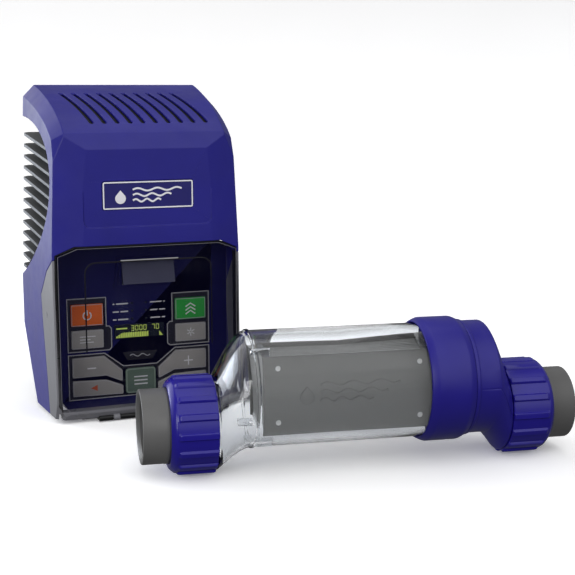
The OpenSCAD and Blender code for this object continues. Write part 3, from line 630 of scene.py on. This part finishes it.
SCOOP_LOW, SCOOP_TOP, SCOOP_HALF = 153, 181.6, 30
SCOOP_FACE = [(FRONT + 8.6, SCOOP_LOW), (FRONT + 9.6, SCOOP_LOW), (FRONT + 9.6, SCOOP_LOW + 26),
              (FRONT + 3.6, SCOOP_LOW + 4), (FRONT + 2.2, SCOOP_LOW + 1)]
RIDGE_FOOT, RIDGE_TOP, RIDGE_HALF, RIDGE_R = 80, 180, 73, 12


def clear_cover():
    """The tinted cover, a grey ring just inside its outline that paints the highlight along its edge, the
    face and lip of its finger scoop, and the ridge inside it.
    """
    refined("cover", 0.6, 3, name="tinted_cover")
    refined("cover_seal", 0.3, name="black_cover_seal")
    bm = bmesh.new()
    # a grey ring just inside the cover's outline: painted highlight along the cover's edge
    outer, inner = (split_at_bevels(cover_outline(-gap)) for gap in (0.3, 0.8))
    ring_slab(bm, outer, inner, FRONT - 0.02, FRONT + 0.5, front_depth)
    dress(to_object("painted_cover_edge_highlight", bm), "cover", COVER_EDGE_HIGHLIGHT)
    bm = bmesh.new()
    bar_x(bm, SCOOP_FACE, -SCOOP_HALF, SCOOP_HALF)
    dress(to_object("scoop_face", bm), "cover", SCOOP_GREY)
    bm = bmesh.new()
    stroke(bm, [(-SCOOP_HALF - 3, SCOOP_TOP), (SCOOP_HALF + 3, SCOOP_TOP)], 1.0, FRONT, FRONT + 0.8)
    dress(to_object("scoop_lip", bm), "cover", RIM_PALE)
    bend, turn_z = RIDGE_HALF - RIDGE_R, RIDGE_TOP - RIDGE_R
    path = ([(-RIDGE_HALF, RIDGE_FOOT)] + arc(-bend, turn_z, RIDGE_R, 180, 90, 6)
            + arc(bend, turn_z, RIDGE_R, 90, 0, 6) + [(RIDGE_HALF, RIDGE_FOOT)])
    bm = bmesh.new()
    stroke(bm, path, 1.6, FRONT + 2.6, FRONT + 3.6)
    ridge = to_object("cover_ridge", bm)
    round_edges(ridge, 0.3, 2, 30)
    dress(ridge, "cover", MATERIALS["hinge_black"])


# ---------------------------------------------------------------- keypad

PANEL = box_mm("lcd_window")[0].y + 0.3
KEY_FACE = box_mm("button_power")[0].y
STEP_KEY = [(-80.5, 40), (-41, 40.4), (-21.5, 31.6), (-21.5, 45.5), (-43, 64), (-80.5, 63.5)]
TURN_KEY = [(-80.5, 18), (-21, 17), (-21, 27.4), (-41, 35.6), (-80.5, 36.6)]
UPPER_FRAME = [(39, 133), (85, 133), (85, 70), (36, 70), (33, 73), (33, 96), (36, 99.3), (39, 99.3)]
LOWER_FRAME = [(-85, 13.5), (85, 13.5), (85, 67.5), (42, 67.5),
               (20, 50.5), (-20, 50.5), (-42, 67.5), (-85, 67.5)]
KEY_FLANGE = 1.1        # the part of a button's box that stays under the frame
SIGN_LIFT, SIGN_SEAT = 0.12, 0.3        # how far a printed sign stands out of its surface and goes into it


def key_outline(node):
    """The outline of a button, from its corners or its named form."""
    forms = {"button_minus": STEP_KEY, "button_plus": mirrored(STEP_KEY),
             "button_back": TURN_KEY, "button_next": mirrored(TURN_KEY)}
    if node in forms:
        return rounded(forms[node], 1.8)
    low, high = box_mm(node)
    return rectangle(low.x + KEY_FLANGE, low.z + KEY_FLANGE, high.x - KEY_FLANGE, high.z - KEY_FLANGE,
                     4.5 if node == "button_menu" else 1.8)


def key(node, sign, sign_material):
    """A moulded key, a pale ring just inside its edge that paints the highlight of its rounded edge, and
    its sign as a thin raised print.
    """
    outline = key_outline(node)
    # width of the pale ring that paints the highlight on the key's edge
    rim = 1.5 if node == "button_menu" else 0.7
    bm = bmesh.new()
    slab(bm, outline, KEY_FACE, PANEL + 3)
    cap = to_object(node.replace("button", "key"), bm)
    round_edges(cap, 0.6, 3, 40)
    dress(cap, node, stands_for=[node])
    bm = bmesh.new()
    # a pale ring at the key's edge: painted highlight
    ring_slab(bm, inset(outline, 0.55), inset(outline, 0.55 + rim), KEY_FACE - 0.08, KEY_FACE + SIGN_SEAT)
    edge_highlight_material = MENU_EDGE_HIGHLIGHT if node == "button_menu" else RIM_PALE
    dress(to_object(node.replace("button", "rim"), bm), node, edge_highlight_material)
    low, high = box_mm(node)
    bm = bmesh.new()
    sign(bm, (low.x + high.x) / 2, (low.z + high.z) / 2, KEY_FACE - SIGN_LIFT, KEY_FACE + SIGN_SEAT)
    dress(to_object(node.replace("button", "sign"), bm), node, sign_material)


def power_sign(bm, x, z, y0, y1):
    stroke(bm, arc(x, z - 0.6, 4.6, 125, 415), 1.3, y0, y1)
    stroke(bm, [(x, z - 0.4), (x, z + 5.6)], 1.3, y0, y1)


def list_sign(bm, x, z, y0, y1):
    for k, reach in enumerate((9, 6, 8)):
        stroke(bm, [(x - 9, z + 3.4 - 3.4 * k), (x - 9 + reach * 2, z + 3.4 - 3.4 * k)], 1.0, y0, y1)


def minus_sign(bm, x, z, y0, y1):
    stroke(bm, [(x - 12, z + 3), (x - 2, z + 3)], 1.4, y0, y1)


def plus_sign(bm, x, z, y0, y1):
    stroke(bm, [(x + 2, z + 3), (x + 13, z + 3)], 1.3, y0, y1)
    for end in (1, -1):
        stroke(bm, [(x + 7.5, z + 3 + end * 0.65), (x + 7.5, z + 3 + end * 5.5)], 1.3, y0, y1)


def star_sign(bm, x, z, y0, y1):
    for a in range(0, 360, 60):
        c, s = math.cos(math.radians(a + 30)), math.sin(math.radians(a + 30))
        stroke(bm, [(x + c * 1.0, z + s * 1.0), (x + c * 5, z + s * 5)], 1.0, y0, y1)


def boost_sign(bm, x, z, y0, y1):
    for lift in (-4.4, 0, 4.4):
        stroke(bm, [(x - 6, z + lift - 2.4), (x, z + lift + 1.6), (x + 6, z + lift - 2.4)], 1.5, y0, y1)


def menu_sign(bm, x, z, y0, y1):
    for lift in (-4.4, 0, 4.4):
        stroke(bm, [(x - 8, z + lift), (x + 8, z + lift)], 1.4, y0, y1)


def back_sign(bm, x, z, y0, y1):
    slab(bm, [(x - 9, z), (x - 1, z - 3.6), (x - 1, z + 3.6)], y0, y1)


def next_sign(bm, x, z, y0, y1):
    slab(bm, [(x + 9, z), (x + 1, z + 3.6), (x + 1, z - 3.6)], y0, y1)


SIGNS = {"button_power": power_sign, "button_info": list_sign, "button_minus": minus_sign,
         "button_back": back_sign, "button_menu": menu_sign, "button_boost": boost_sign,
         "button_star": star_sign, "button_plus": plus_sign, "button_next": next_sign}
ORANGE_SIGNS = ("button_back", "button_next")
DIGIT_SEGMENTS = {"0": "abcdef", "3": "abgcd", "7": "abc"}
SEGMENT_ENDS = {"a": [(0, 1), (1, 1)], "b": [(1, 0.54), (1, 0.96)], "c": [(1, 0.04), (1, 0.46)],
                "d": [(0, 0), (1, 0)], "e": [(0, 0.04), (0, 0.46)], "f": [(0, 0.54), (0, 0.96)],
                "g": [(0, 0.5), (1, 0.5)]}


def digit(bm, value, x, z, width, height, y0, y1):
    """A seven-segment digit whose lower left corner is at (x, z)."""
    for letter in DIGIT_SEGMENTS[value]:
        stroke(bm, [(x + u * width, z + v * height) for u, v in SEGMENT_ENDS[letter]], 0.75, y0, y1)


def display():
    """The lit signs of the display: digits above a row of bars and a marker."""
    refined("lcd_window", 0.2, name="display_window")
    low, high = box_mm("lcd_window")
    y0, y1 = low.y - 0.06, low.y + 0.2
    bm = bmesh.new()
    for text, start in (("3000", low.x + 20), ("70", high.x - 14.5)):
        for k, value in enumerate(text):
            digit(bm, value, start + k * 4.9, high.z - 7.4, 3.0, 5.6, y0, y1)
    stroke(bm, [(low.x + 2, high.z - 4.6), (low.x + 15, high.z - 4.6)], 1.6, y0, y1)
    foot = low.z + 1
    for k in range(14):
        x = low.x + 1.5 + k * 2.8
        height = min(6.4, 2.6 + 1.6 * k)
        slab(bm, [(x, foot), (x + 2.3, foot), (x + 2.3, foot + height), (x, foot + height - 1)], y0, y1)
    slab(bm, [(high.x - 1.5, foot), (high.x - 6, foot + 5.5), (high.x - 6, foot)], y0, y1)
    dress(to_object("display_signs", bm), "lcd_window", DISPLAY_LIT)


LAMP_R = 1.3
LAMP_DOME = [(LAMP_R * 0.7 * math.sin(math.radians(d)), 0, LAMP_R * math.cos(math.radians(d)))
             for d in (84, 60, 40, 20, 0)]
LAMP_BACK = -3
BAR_GAP, BAR_END, DASH_GAP = 5, 18, 2
BAR_LENGTHS = (12, 9, 14)


def lamps():
    """Domed lenses in two columns, with a short printed bar and a dash beside each."""
    bm = bmesh.new()
    prints = bmesh.new()
    low, high = box_mm("indicator_leds")
    sections = LAMP_DOME + [(LAMP_BACK, 0, LAMP_R), (LAMP_BACK, 0, 0.2)]
    face, seat = PANEL - SIGN_LIFT, PANEL + 0.2
    for x, side in ((low.x + LAMP_R, -1), (high.x - LAMP_R, 1)):
        for length, z in zip(BAR_LENGTHS, (low.z + LAMP_R, (low.z + high.z) / 2, high.z - LAMP_R)):
            start = len(bm.verts)
            loft(bm, sections, even_angles(20))
            bm.verts.ensure_lookup_table()
            place = Matrix.Translation(Vector((x, PANEL - 0.2, z)) * MM)
            turn = Matrix.Rotation(-math.pi / 2, 4, "Z")
            bmesh.ops.transform(bm, matrix=place @ turn, verts=bm.verts[start:])
            near = x + side * BAR_GAP
            for start_x, end_x in ((0, length), (length + DASH_GAP, BAR_END)):
                stroke(prints, [(near + side * start_x, z), (near + side * end_x, z)], 1.5, face, seat)
    dress(to_object("lamp_lenses", bm), "indicator_leds", stands_for=["indicator_leds"])
    dress(to_object("lamp_prints", prints), "recess_panel", SIGN_WHITE)


def keypad():
    """The panel, the rimmed frames, the small plate in the middle, the keys, the display and the lamps."""
    refined("recess_panel", 0.5, name="keypad_panel")
    refined("keypad_frame", 0.2, name="key_frames")
    face = box_mm("keypad_frame")[0].y
    bm = bmesh.new()
    for outline in (UPPER_FRAME, mirrored(UPPER_FRAME), LOWER_FRAME):
        ring_slab(bm, outline, inset(outline, 1.1), face - 0.3, face + 0.6)
    rims = to_object("frame_rims", bm)
    round_edges(rims, 0.12, 1, 30)
    dress(rims, "keypad_frame", RIM_PALE)
    plate = [(-21, 66), (-15, 56), (15, 56), (21, 66)]
    bm = bmesh.new()
    slab(bm, plate, PANEL - 0.6, PANEL + 0.2)
    panel_plate = to_object("panel_plate", bm)
    round_edges(panel_plate, 0.2, 2, 30)
    dress(panel_plate, "recess_panel", MATERIALS["frame_dark"])
    bm = bmesh.new()
    stroke(bm, wave(-12, 12, 61.5, 1.4, 2), 0.9, PANEL - 0.75, PANEL - 0.4)
    dress(to_object("panel_plate_sign", bm), "recess_panel", RIM_PALE)
    for node, sign in SIGNS.items():
        key(node, sign, SIGN_ORANGE if node in ORANGE_SIGNS else SIGN_WHITE)
    display()
    lamps()


# ---------------------------------------------------------------- cell

LEFT_MOUTH = Vector(MOUNTS["left_socket"]["pos_m"]) / MM
RIGHT_MOUTH = Vector(MOUNTS["right_socket"]["pos_m"]) / MM
MOUTH_DEPTH = 22        # the sockets' mounts lie this far inside the cell's two ends
ALONG = (RIGHT_MOUTH - LEFT_MOUTH).normalized()
CELL_LENGTH = (RIGHT_MOUTH - LEFT_MOUTH).length + 2 * MOUTH_DEPTH
PORT = LEFT_MOUTH.z
CELL_START = LEFT_MOUTH - ALONG * MOUTH_DEPTH
CELL = (Matrix.Translation(Vector((CELL_START.x, CELL_START.y, 0)) * MM)
        @ Matrix.Rotation(math.atan2(ALONG.y, ALONG.x), 4, "Z"))
AXIS = sum((v.z for v in box_mm("collar")), 0.0) / 2
COLLAR_R = box_mm("collar")[1].z - AXIS
TUBE_R = COLLAR_R - 5.35
TUBE_WALL = 4
MALE_R = 42.6
BORE_R = 27
NUT_R = PORT            # the nuts stand on the floor
NUT_START, RIBS = 26, 16
CONE_START, TUBE_START = 72.4, 104.0
COLLAR_START, COLLAR_END = 276, 322
COLLAR_SLOPE = 7
SPIGOT_START, SPIGOT_LIP = 57.3, 0.8
TUBE_END = 299.6
PLATE_START, PLATE_END, PLATE_FACE = 113, 284, -35
HOUSING_START, HOUSING_END = 302.2, 381
HOUSING_WALL = 5
ROUND_STEPS = 144
LUGS = ((103, 121, 128, TUBE_R, 5), (104, 124, 236, TUBE_R, 5),     # start, end, angle, radius, depth
        (88, 103, 205, 51, 5), (96, 104, 238, 53, 4))
LUG_FOOT, LUG_TOP, LUG_LIFT = 3.4, 2.6, 1.2


def in_cell(obj):
    """Takes a piece drawn along X from the cell's left end to its place."""
    obj.data.transform(CELL)
    return obj


def at_end(obj, side):
    """Puts a piece drawn for the left end of the cell at the left or the right end."""
    if side == "right":
        obj.data.transform(Matrix.Translation((CELL_LENGTH * MM, 0, 0)) @ Matrix.Scale(-1, 4, (1, 0, 0)))
        obj.data.flip_normals()
    return in_cell(obj)


def sloped(t0, t1, z0, z1, r0, r1, ease, steps=12):
    """Round sections that slide and grow from one circle to another."""
    return [(t0 + (t1 - t0) * s, z0 + (z1 - z0) * ease(s), r0 + (r1 - r0) * ease(s))
            for s in (k / steps for k in range(steps + 1))]


def shoulder(s):
    """How the cone grows from 0 to 1: steeply at the port, and level where it meets the tube."""
    return math.sin(s * 1.35) / math.sin(1.35)


def clear_tube():
    """The tube with its cone and left spigot, and the lugs that hold the plates."""
    bead = ((104.8, 0.1), (105.4, 1.0), (107.4, 1.2), (108.4, 0.2), (109.2, 0), (190, 0))
    outer = [(SPIGOT_START, PORT, MALE_R - SPIGOT_LIP), (58.2, PORT, MALE_R), (70.6, PORT, MALE_R),
             (71.4, PORT, 45)]
    outer += sloped(CONE_START, TUBE_START, PORT, AXIS, 45.9, TUBE_R, shoulder)
    outer += [(t, AXIS, TUBE_R + h) for t, h in bead + ((TUBE_END - 1, 0), (TUBE_END, -0.6))]
    bore = TUBE_R - TUBE_WALL
    inner = [(TUBE_END, AXIS, bore + 0.6), (TUBE_END - 1, AXIS, bore), (190, AXIS, bore),
             (112, AXIS, bore), (108, AXIS, bore - 0.3)]
    inner += sloped(CONE_START + 2, TUBE_START - 0.5, PORT, AXIS, 37.5, bore - 0.6, shoulder)[::-1]
    inner += [(73.6, PORT, 35), (72.6, PORT, BORE_R + 0.6), (71.8, PORT, BORE_R), (58, PORT, BORE_R),
              (SPIGOT_START, PORT, BORE_R + 0.6)]
    bm = bmesh.new()
    loft(bm, outer + inner, even_angles(ROUND_STEPS))
    tube = in_cell(to_object("clear_tube", bm))
    dress(tube, "clear_housing", stands_for=["clear_housing"], smooth=38)
    bm = bmesh.new()
    for start, end, angle, radius, depth in LUGS:
        out = Vector((0, math.cos(math.radians(angle)), math.sin(math.radians(angle))))
        across = Vector((0, -math.sin(math.radians(angle - 90)), math.cos(math.radians(angle - 90))))
        base = Vector((0, 0, AXIS)) + out * (radius - depth)
        top = depth + LUG_LIFT
        outline = [(-LUG_FOOT, 0), (LUG_FOOT, 0), (LUG_TOP, top), (-LUG_TOP, top)]
        prism(bm, outline,
              lambda u, v, far: (base + across * u + out * v + Vector(((start, end)[far], 0, 0))) * MM)
    lugs = to_object("clear_lugs", bm)
    round_edges(lugs, 0.7, 3, 30)
    dress(in_cell(lugs), "clear_housing")


def plate_pack():
    """The outer plates with their water mark; the plates between them keep their CAD mesh."""
    refined("outer_plates", 0.5, name="outer_plate_pair")
    middle = (PLATE_START + PLATE_END) / 2
    start = middle - 28
    bm = bmesh.new()
    drop_and_waves(bm, (middle - 42, AXIS - 3), 7, [(start, start + reach) for reach in (78, 66, 52)],
                   AXIS + 8, 7.5, 2.0, 3, 2.6, PLATE_FACE - 0.9, PLATE_FACE + 0.3)
    sign = to_object("plate_sign", bm)
    round_edges(sign, 0.3, 2, 40)
    dress(in_cell(sign), "outer_plates")


def fittings():
    """The blue collar round the end of the tube, and the end housing that narrows to the right union."""
    low_r, inner_r = TUBE_R + 2.2, TUBE_R + 0.15
    bm = bmesh.new()
    profile = [(COLLAR_START, inner_r), (COLLAR_START, low_r), (COLLAR_START + COLLAR_SLOPE, COLLAR_R),
               (COLLAR_END - COLLAR_SLOPE, COLLAR_R), (COLLAR_END, low_r), (COLLAR_END, inner_r)]
    loft(bm, [(t, AXIS, radius) for t, radius in profile], even_angles(ROUND_STEPS))
    collar = to_object("blue_collar", bm)
    round_edges(collar, 1.4, 4, 20)
    dress(in_cell(collar), "collar", stands_for=["collar"])

    barrel = [(HOUSING_START, 0), (321, 0), (322.4, 1.6), (325.6, 1.6), (326.4, 0.1), (340, 0)]
    slope = sloped(347, 364.8, AXIS, PORT, TUBE_R, 45.2, lambda s: s ** 1.25, 18)
    outer = [(t, AXIS, TUBE_R + h) for t, h in barrel] + slope
    outer += [(366.2, PORT, 44.9), (366.7, PORT, MALE_R), (380.2, PORT, MALE_R),
              (HOUSING_END, PORT, MALE_R - SPIGOT_LIP)]
    bore = TUBE_R - HOUSING_WALL
    inner = [(HOUSING_END, PORT, BORE_R + 0.6), (380.2, PORT, BORE_R), (359, PORT, BORE_R),
             (357, PORT, BORE_R + 5), (344, AXIS, bore - 1), (340, AXIS, bore), (HOUSING_START, AXIS, bore)]
    seams = (math.radians(180), math.radians(360))
    grooved = range(len(barrel) - 1, len(barrel) - 1 + len(slope))

    def groove(k, a):
        return -0.55 if k in grooved and any(abs(a - seam) < 0.008 for seam in seams) else 0

    bm = bmesh.new()
    loft(bm, outer + inner, seam_angles(seams), groove)
    housing = to_object("blue_end_housing", bm)
    round_edges(housing, 0.5, 2, 32)
    dress(in_cell(housing), "end_housing", stands_for=["end_housing"], smooth=32)


def seam_angles(seams):
    """Even angles round a circle, with extra ones that shape the narrow mould seams."""
    even = [2 * math.pi * (i + 0.5) / 120 for i in range(120)]
    return sorted(even + [s + d for s in seams for d in (-0.014, 0, 0.014) if s + d < 2 * math.pi + 0.001])


NUT_PROFILE = [  # along the nut, radius, share of the rib's height
    (0.3, 37.3, 0), (0.0, 38.0, 0), (0.0, 41.2, 0), (0.5, 42.0, 0), (2.4, 44.0, 0),
    (4.2, 45.6, 0), (5.2, 46.1, 0), (6.3, 46.3, 0), (7.0, 46.3, 0.3), (7.7, 46.3, 0.65),
    (8.6, 46.3, 0.9), (9.8, 46.3, 1), (26, 46.3, 1), (43.2, 46.3, 1), (44.2, 46.1, 0.9),
    (44.8, 45.8, 0.7), (45.0, 45.2, 0.4), (45.0, 43.4, 0), (44.6, 43.1, 0), (25.0, 43.1, 0),
    (24.7, 42.6, 0), (24.7, 37.6, 0), (24.2, 37.2, 0), (1.0, 37.2, 0)]
TAIL_PROFILE = [  # along the tailpiece, radius
    (0.9, 32.4), (0.2, 33.4), (0, 34.0), (0, 35.9), (0.25, 36.3), (0.8, 36.5), (21.4, 36.5), (21.9, 36.85),
    (24.6, 36.9), (25.4, 36.85), (25.8, 36.5), (51.1, 36.5), (51.1, 41.2), (51.6, 41.5), (56.3, 41.5),
    (56.7, 41.1), (56.7, 26.4), (56.2, 26), (41.4, 26), (41, 26.5), (41, 29.8), (40.6, 30.2), (3.4, 30.2)]
STEPS_PER_RIB = 24
RIB_HEIGHT, RIB_HALF, RIB_FOOT = 2.2, 2.5, 4.1


def rib_swell(k, a):
    """How far a nut's surface stands out at an angle, for one section of its profile."""
    pitch = 2 * math.pi / RIBS
    off = abs((a - math.pi / 2 + pitch / 2) % pitch - pitch / 2) * NUT_R
    s = min(1.0, max(0.0, (RIB_FOOT - off) / (RIB_FOOT - RIB_HALF)))
    return NUT_PROFILE[k][2] * RIB_HEIGHT * s * s * (3 - 2 * s)


def union(side):
    """A ribbed nut and the tailpiece that it holds, at the left or the right end."""
    bm = bmesh.new()
    sections = [(NUT_START + t, PORT, r) for t, r, _ in NUT_PROFILE]
    loft(bm, sections, even_angles(STEPS_PER_RIB * RIBS), rib_swell)
    nut = at_end(to_object("ribbed_nut_" + side, bm), side)
    dress(nut, "union_nut_" + side, stands_for=["union_nut_" + side], smooth=42)
    bm = bmesh.new()
    loft(bm, [(t, PORT, r) for t, r in TAIL_PROFILE], even_angles(ROUND_STEPS))
    piece = at_end(to_object("grey_tailpiece_" + side, bm), side)
    dress(piece, "tailpiece_" + side, stands_for=["tailpiece_" + side], smooth=38)


# ---------------------------------------------------------------- assembly

ROUNDED = {     # how far the edges of each node that shows are rounded
    "side_trim_left": 0.9, "side_trim_right": 0.9, "bottom_rail": 0.4, "hinge_bar": 0.5,
    "wall_bracket": 0.3, "bracket_screws": 0.25, "power_gland": 0.4, "cell_socket": 0.4,
    "cell_connector": 0.5, "vent_screen": 0.0, "plate_combs": 0.2, "panel_screws": 0.2}
FLAT_SIDED = {"heat_sink": 0.5, "rear_chassis": 1.0, "chassis_foot": 1.0}
CREASE = 5              # edges sharper than this stay sharp on the flat-sided nodes, in degrees
BRIGHT_NODES = ("cathode_plates", "anode_plates", "tie_rods", "terminal_studs")


def other_nodes():
    """Every other CAD node: those that show get round edges, and those inside keep their mesh."""
    for node, width in ROUNDED.items():
        refined(node, width)
    for node, width in FLAT_SIDED.items():
        refined(node, width, smooth=CREASE)
    for node, obj in frame["nodes"].items():
        if not obj.hide_render:
            obj.data.materials.clear()
            obj.data.materials.append(BRIGHT_TITANIUM if node in BRIGHT_NODES else MATERIALS[SLOT_OF[node]])


# ---------------------------------------------------------------- studio

FLOOR_SIDES = 96
FLOOR_RINGS = (0.5, 1, 2, 3)
FLOOR_TURN, FLOOR_CURVE, FLOOR_TOP = 4, 1.5, 4      # where it turns up, the turn's radius, the height
FLOOR_TONE = 1.18
FLOOR_GLOW = 0.14


def floor_material():
    """White that reflects and glows a little."""
    n = Nodes("floor_white")
    diffuse = n.add("ShaderNodeBsdfDiffuse")
    tone, lighter = ((t, t, t, 1) for t in (FLOOR_TONE, FLOOR_TONE * 1.02))
    n.tree.links.new(n.blend(n.noise(2.0), tone, lighter), diffuse.inputs["Color"])
    glow = n.add("ShaderNodeEmission", Color=linear(250, 250, 255), Strength=FLOOR_GLOW)
    both = n.add("ShaderNodeAddShader")
    n.tree.links.new(diffuse.outputs[0], both.inputs[0])
    n.tree.links.new(glow.outputs[0], both.inputs[1])
    n.tree.links.new(both.outputs[0], n.tree.nodes["Material Output"].inputs["Surface"])
    return n.material


def stage():
    """A white floor that curves up out of sight all round, seen directly and through clear plastic only."""
    bends = (math.radians(d) for d in range(0, 91, 10))
    profile = [(r, 0) for r in FLOOR_RINGS]
    profile += [(FLOOR_TURN + FLOOR_CURVE * math.sin(a), FLOOR_CURVE - FLOOR_CURVE * math.cos(a))
                for a in bends]
    profile += [(FLOOR_TURN + FLOOR_CURVE, FLOOR_TOP)]
    bm = bmesh.new()
    rows = [[bm.verts.new((r * math.cos(a), r * math.sin(a), z)) for a in even_angles(FLOOR_SIDES)]
            for r, z in profile]
    bm.faces.new(rows[0])
    for inner, outer in zip(rows, rows[1:]):
        for i in range(FLOOR_SIDES):
            j = (i + 1) % FLOOR_SIDES
            bm.faces.new([inner[i], outer[i], outer[j], inner[j]])
    floor = to_object("floor", bm)
    shade(floor.data, 30)
    floor.visible_diffuse = floor.visible_glossy = floor.visible_shadow = False
    floor.data.materials.append(floor_material())


LAMP_TARGET = (0.05, -0.15, 0.15)
SKY_BASE = 0.13
SKY_GLOWS = [   # direction, where its brightness starts and is full as a cosine, strength
    ((-0.62, 0.72, 0.30), 0.74, 0.97, 1.5),
    ((0.15, -0.72, 0.68), 0.55, 0.95, 1.15),
    ((0.0, 0.0, 1.0), -0.3, 0.5, 0.15),
]


def area_light(name, place, size, power, colour=(1, 1, 1)):
    data = bpy.data.lights.new(name, "AREA")
    data.shape = "RECTANGLE"
    data.size, data.size_y = size
    data.energy = power
    data.color = colour
    lamp = bpy.data.objects.new(name, data)
    lamp.location = place
    lamp.rotation_euler = (Vector(LAMP_TARGET) - Vector(place)).to_track_quat("-Z", "Y").to_euler()
    bpy.context.scene.collection.objects.link(lamp)


def sky():
    """A dim white world with a few broad glows, which light the object and show in its gloss."""
    world = bpy.data.worlds.new("studio")
    bpy.context.scene.world = world
    world.use_nodes = True
    tree = world.node_tree
    place = tree.nodes.new("ShaderNodeTexCoord").outputs["Generated"]
    total = None
    for direction, start, full, strength in SKY_GLOWS:
        dot = tree.nodes.new("ShaderNodeVectorMath")
        dot.operation = "DOT_PRODUCT"
        dot.inputs[1].default_value = Vector(direction).normalized()
        ramp = tree.nodes.new("ShaderNodeMapRange")
        ramp.interpolation_type = "SMOOTHSTEP"
        ramp.inputs["From Min"].default_value = start
        ramp.inputs["From Max"].default_value = full
        ramp.inputs["To Max"].default_value = strength
        add = tree.nodes.new("ShaderNodeMath")
        add.inputs[0].default_value = SKY_BASE
        tree.links.new(place, dot.inputs[0])
        tree.links.new(dot.outputs["Value"], ramp.inputs["Value"])
        tree.links.new(ramp.outputs["Result"], add.inputs[1])
        if total:
            tree.links.new(total, add.inputs[0])
        total = add.outputs[0]
    background = tree.nodes["Background"]
    background.inputs["Color"].default_value = (1.0, 1.0, 1.0, 1.0)
    tree.links.new(total, background.inputs["Strength"])


def lights():
    """A broad cool lamp behind on the left, a small one in front and a weak one above, under the sky."""
    area_light("left_lamp", (-1.5, 1.35, 0.4), (1.2, 1.0), 17, (0.80, 0.88, 1.0))
    area_light("front_lamp", (-1.3, -1.2, 0.5), (0.8, 0.8), 9)
    area_light("top_lamp", (0.3, 0.3, 2.2), (1.4, 1.4), 5)
    sky()


CAMERA_PLACE = (-0.3490, -1.3678, 0.3723)
CAMERA_PITCH, CAMERA_TURN = 80.51, -21.66
CAMERA_LENS, CAMERA_SENSOR = 75.42, 36


def camera():
    data = bpy.data.cameras.new("camera")
    data.sensor_width = CAMERA_SENSOR
    data.lens = CAMERA_LENS
    cam = bpy.data.objects.new("camera", data)
    cam.location = CAMERA_PLACE
    cam.rotation_euler = (math.radians(CAMERA_PITCH), 0, math.radians(CAMERA_TURN))
    bpy.context.scene.collection.objects.link(cam)
    bpy.context.scene.camera = cam


camera()
lights()
stage()
blue_shell()
badge()
clear_cover()
keypad()
clear_tube()
plate_pack()
fittings()
union("left")
union("right")
other_nodes()
bpy.context.scene.view_settings.view_transform = "Standard"
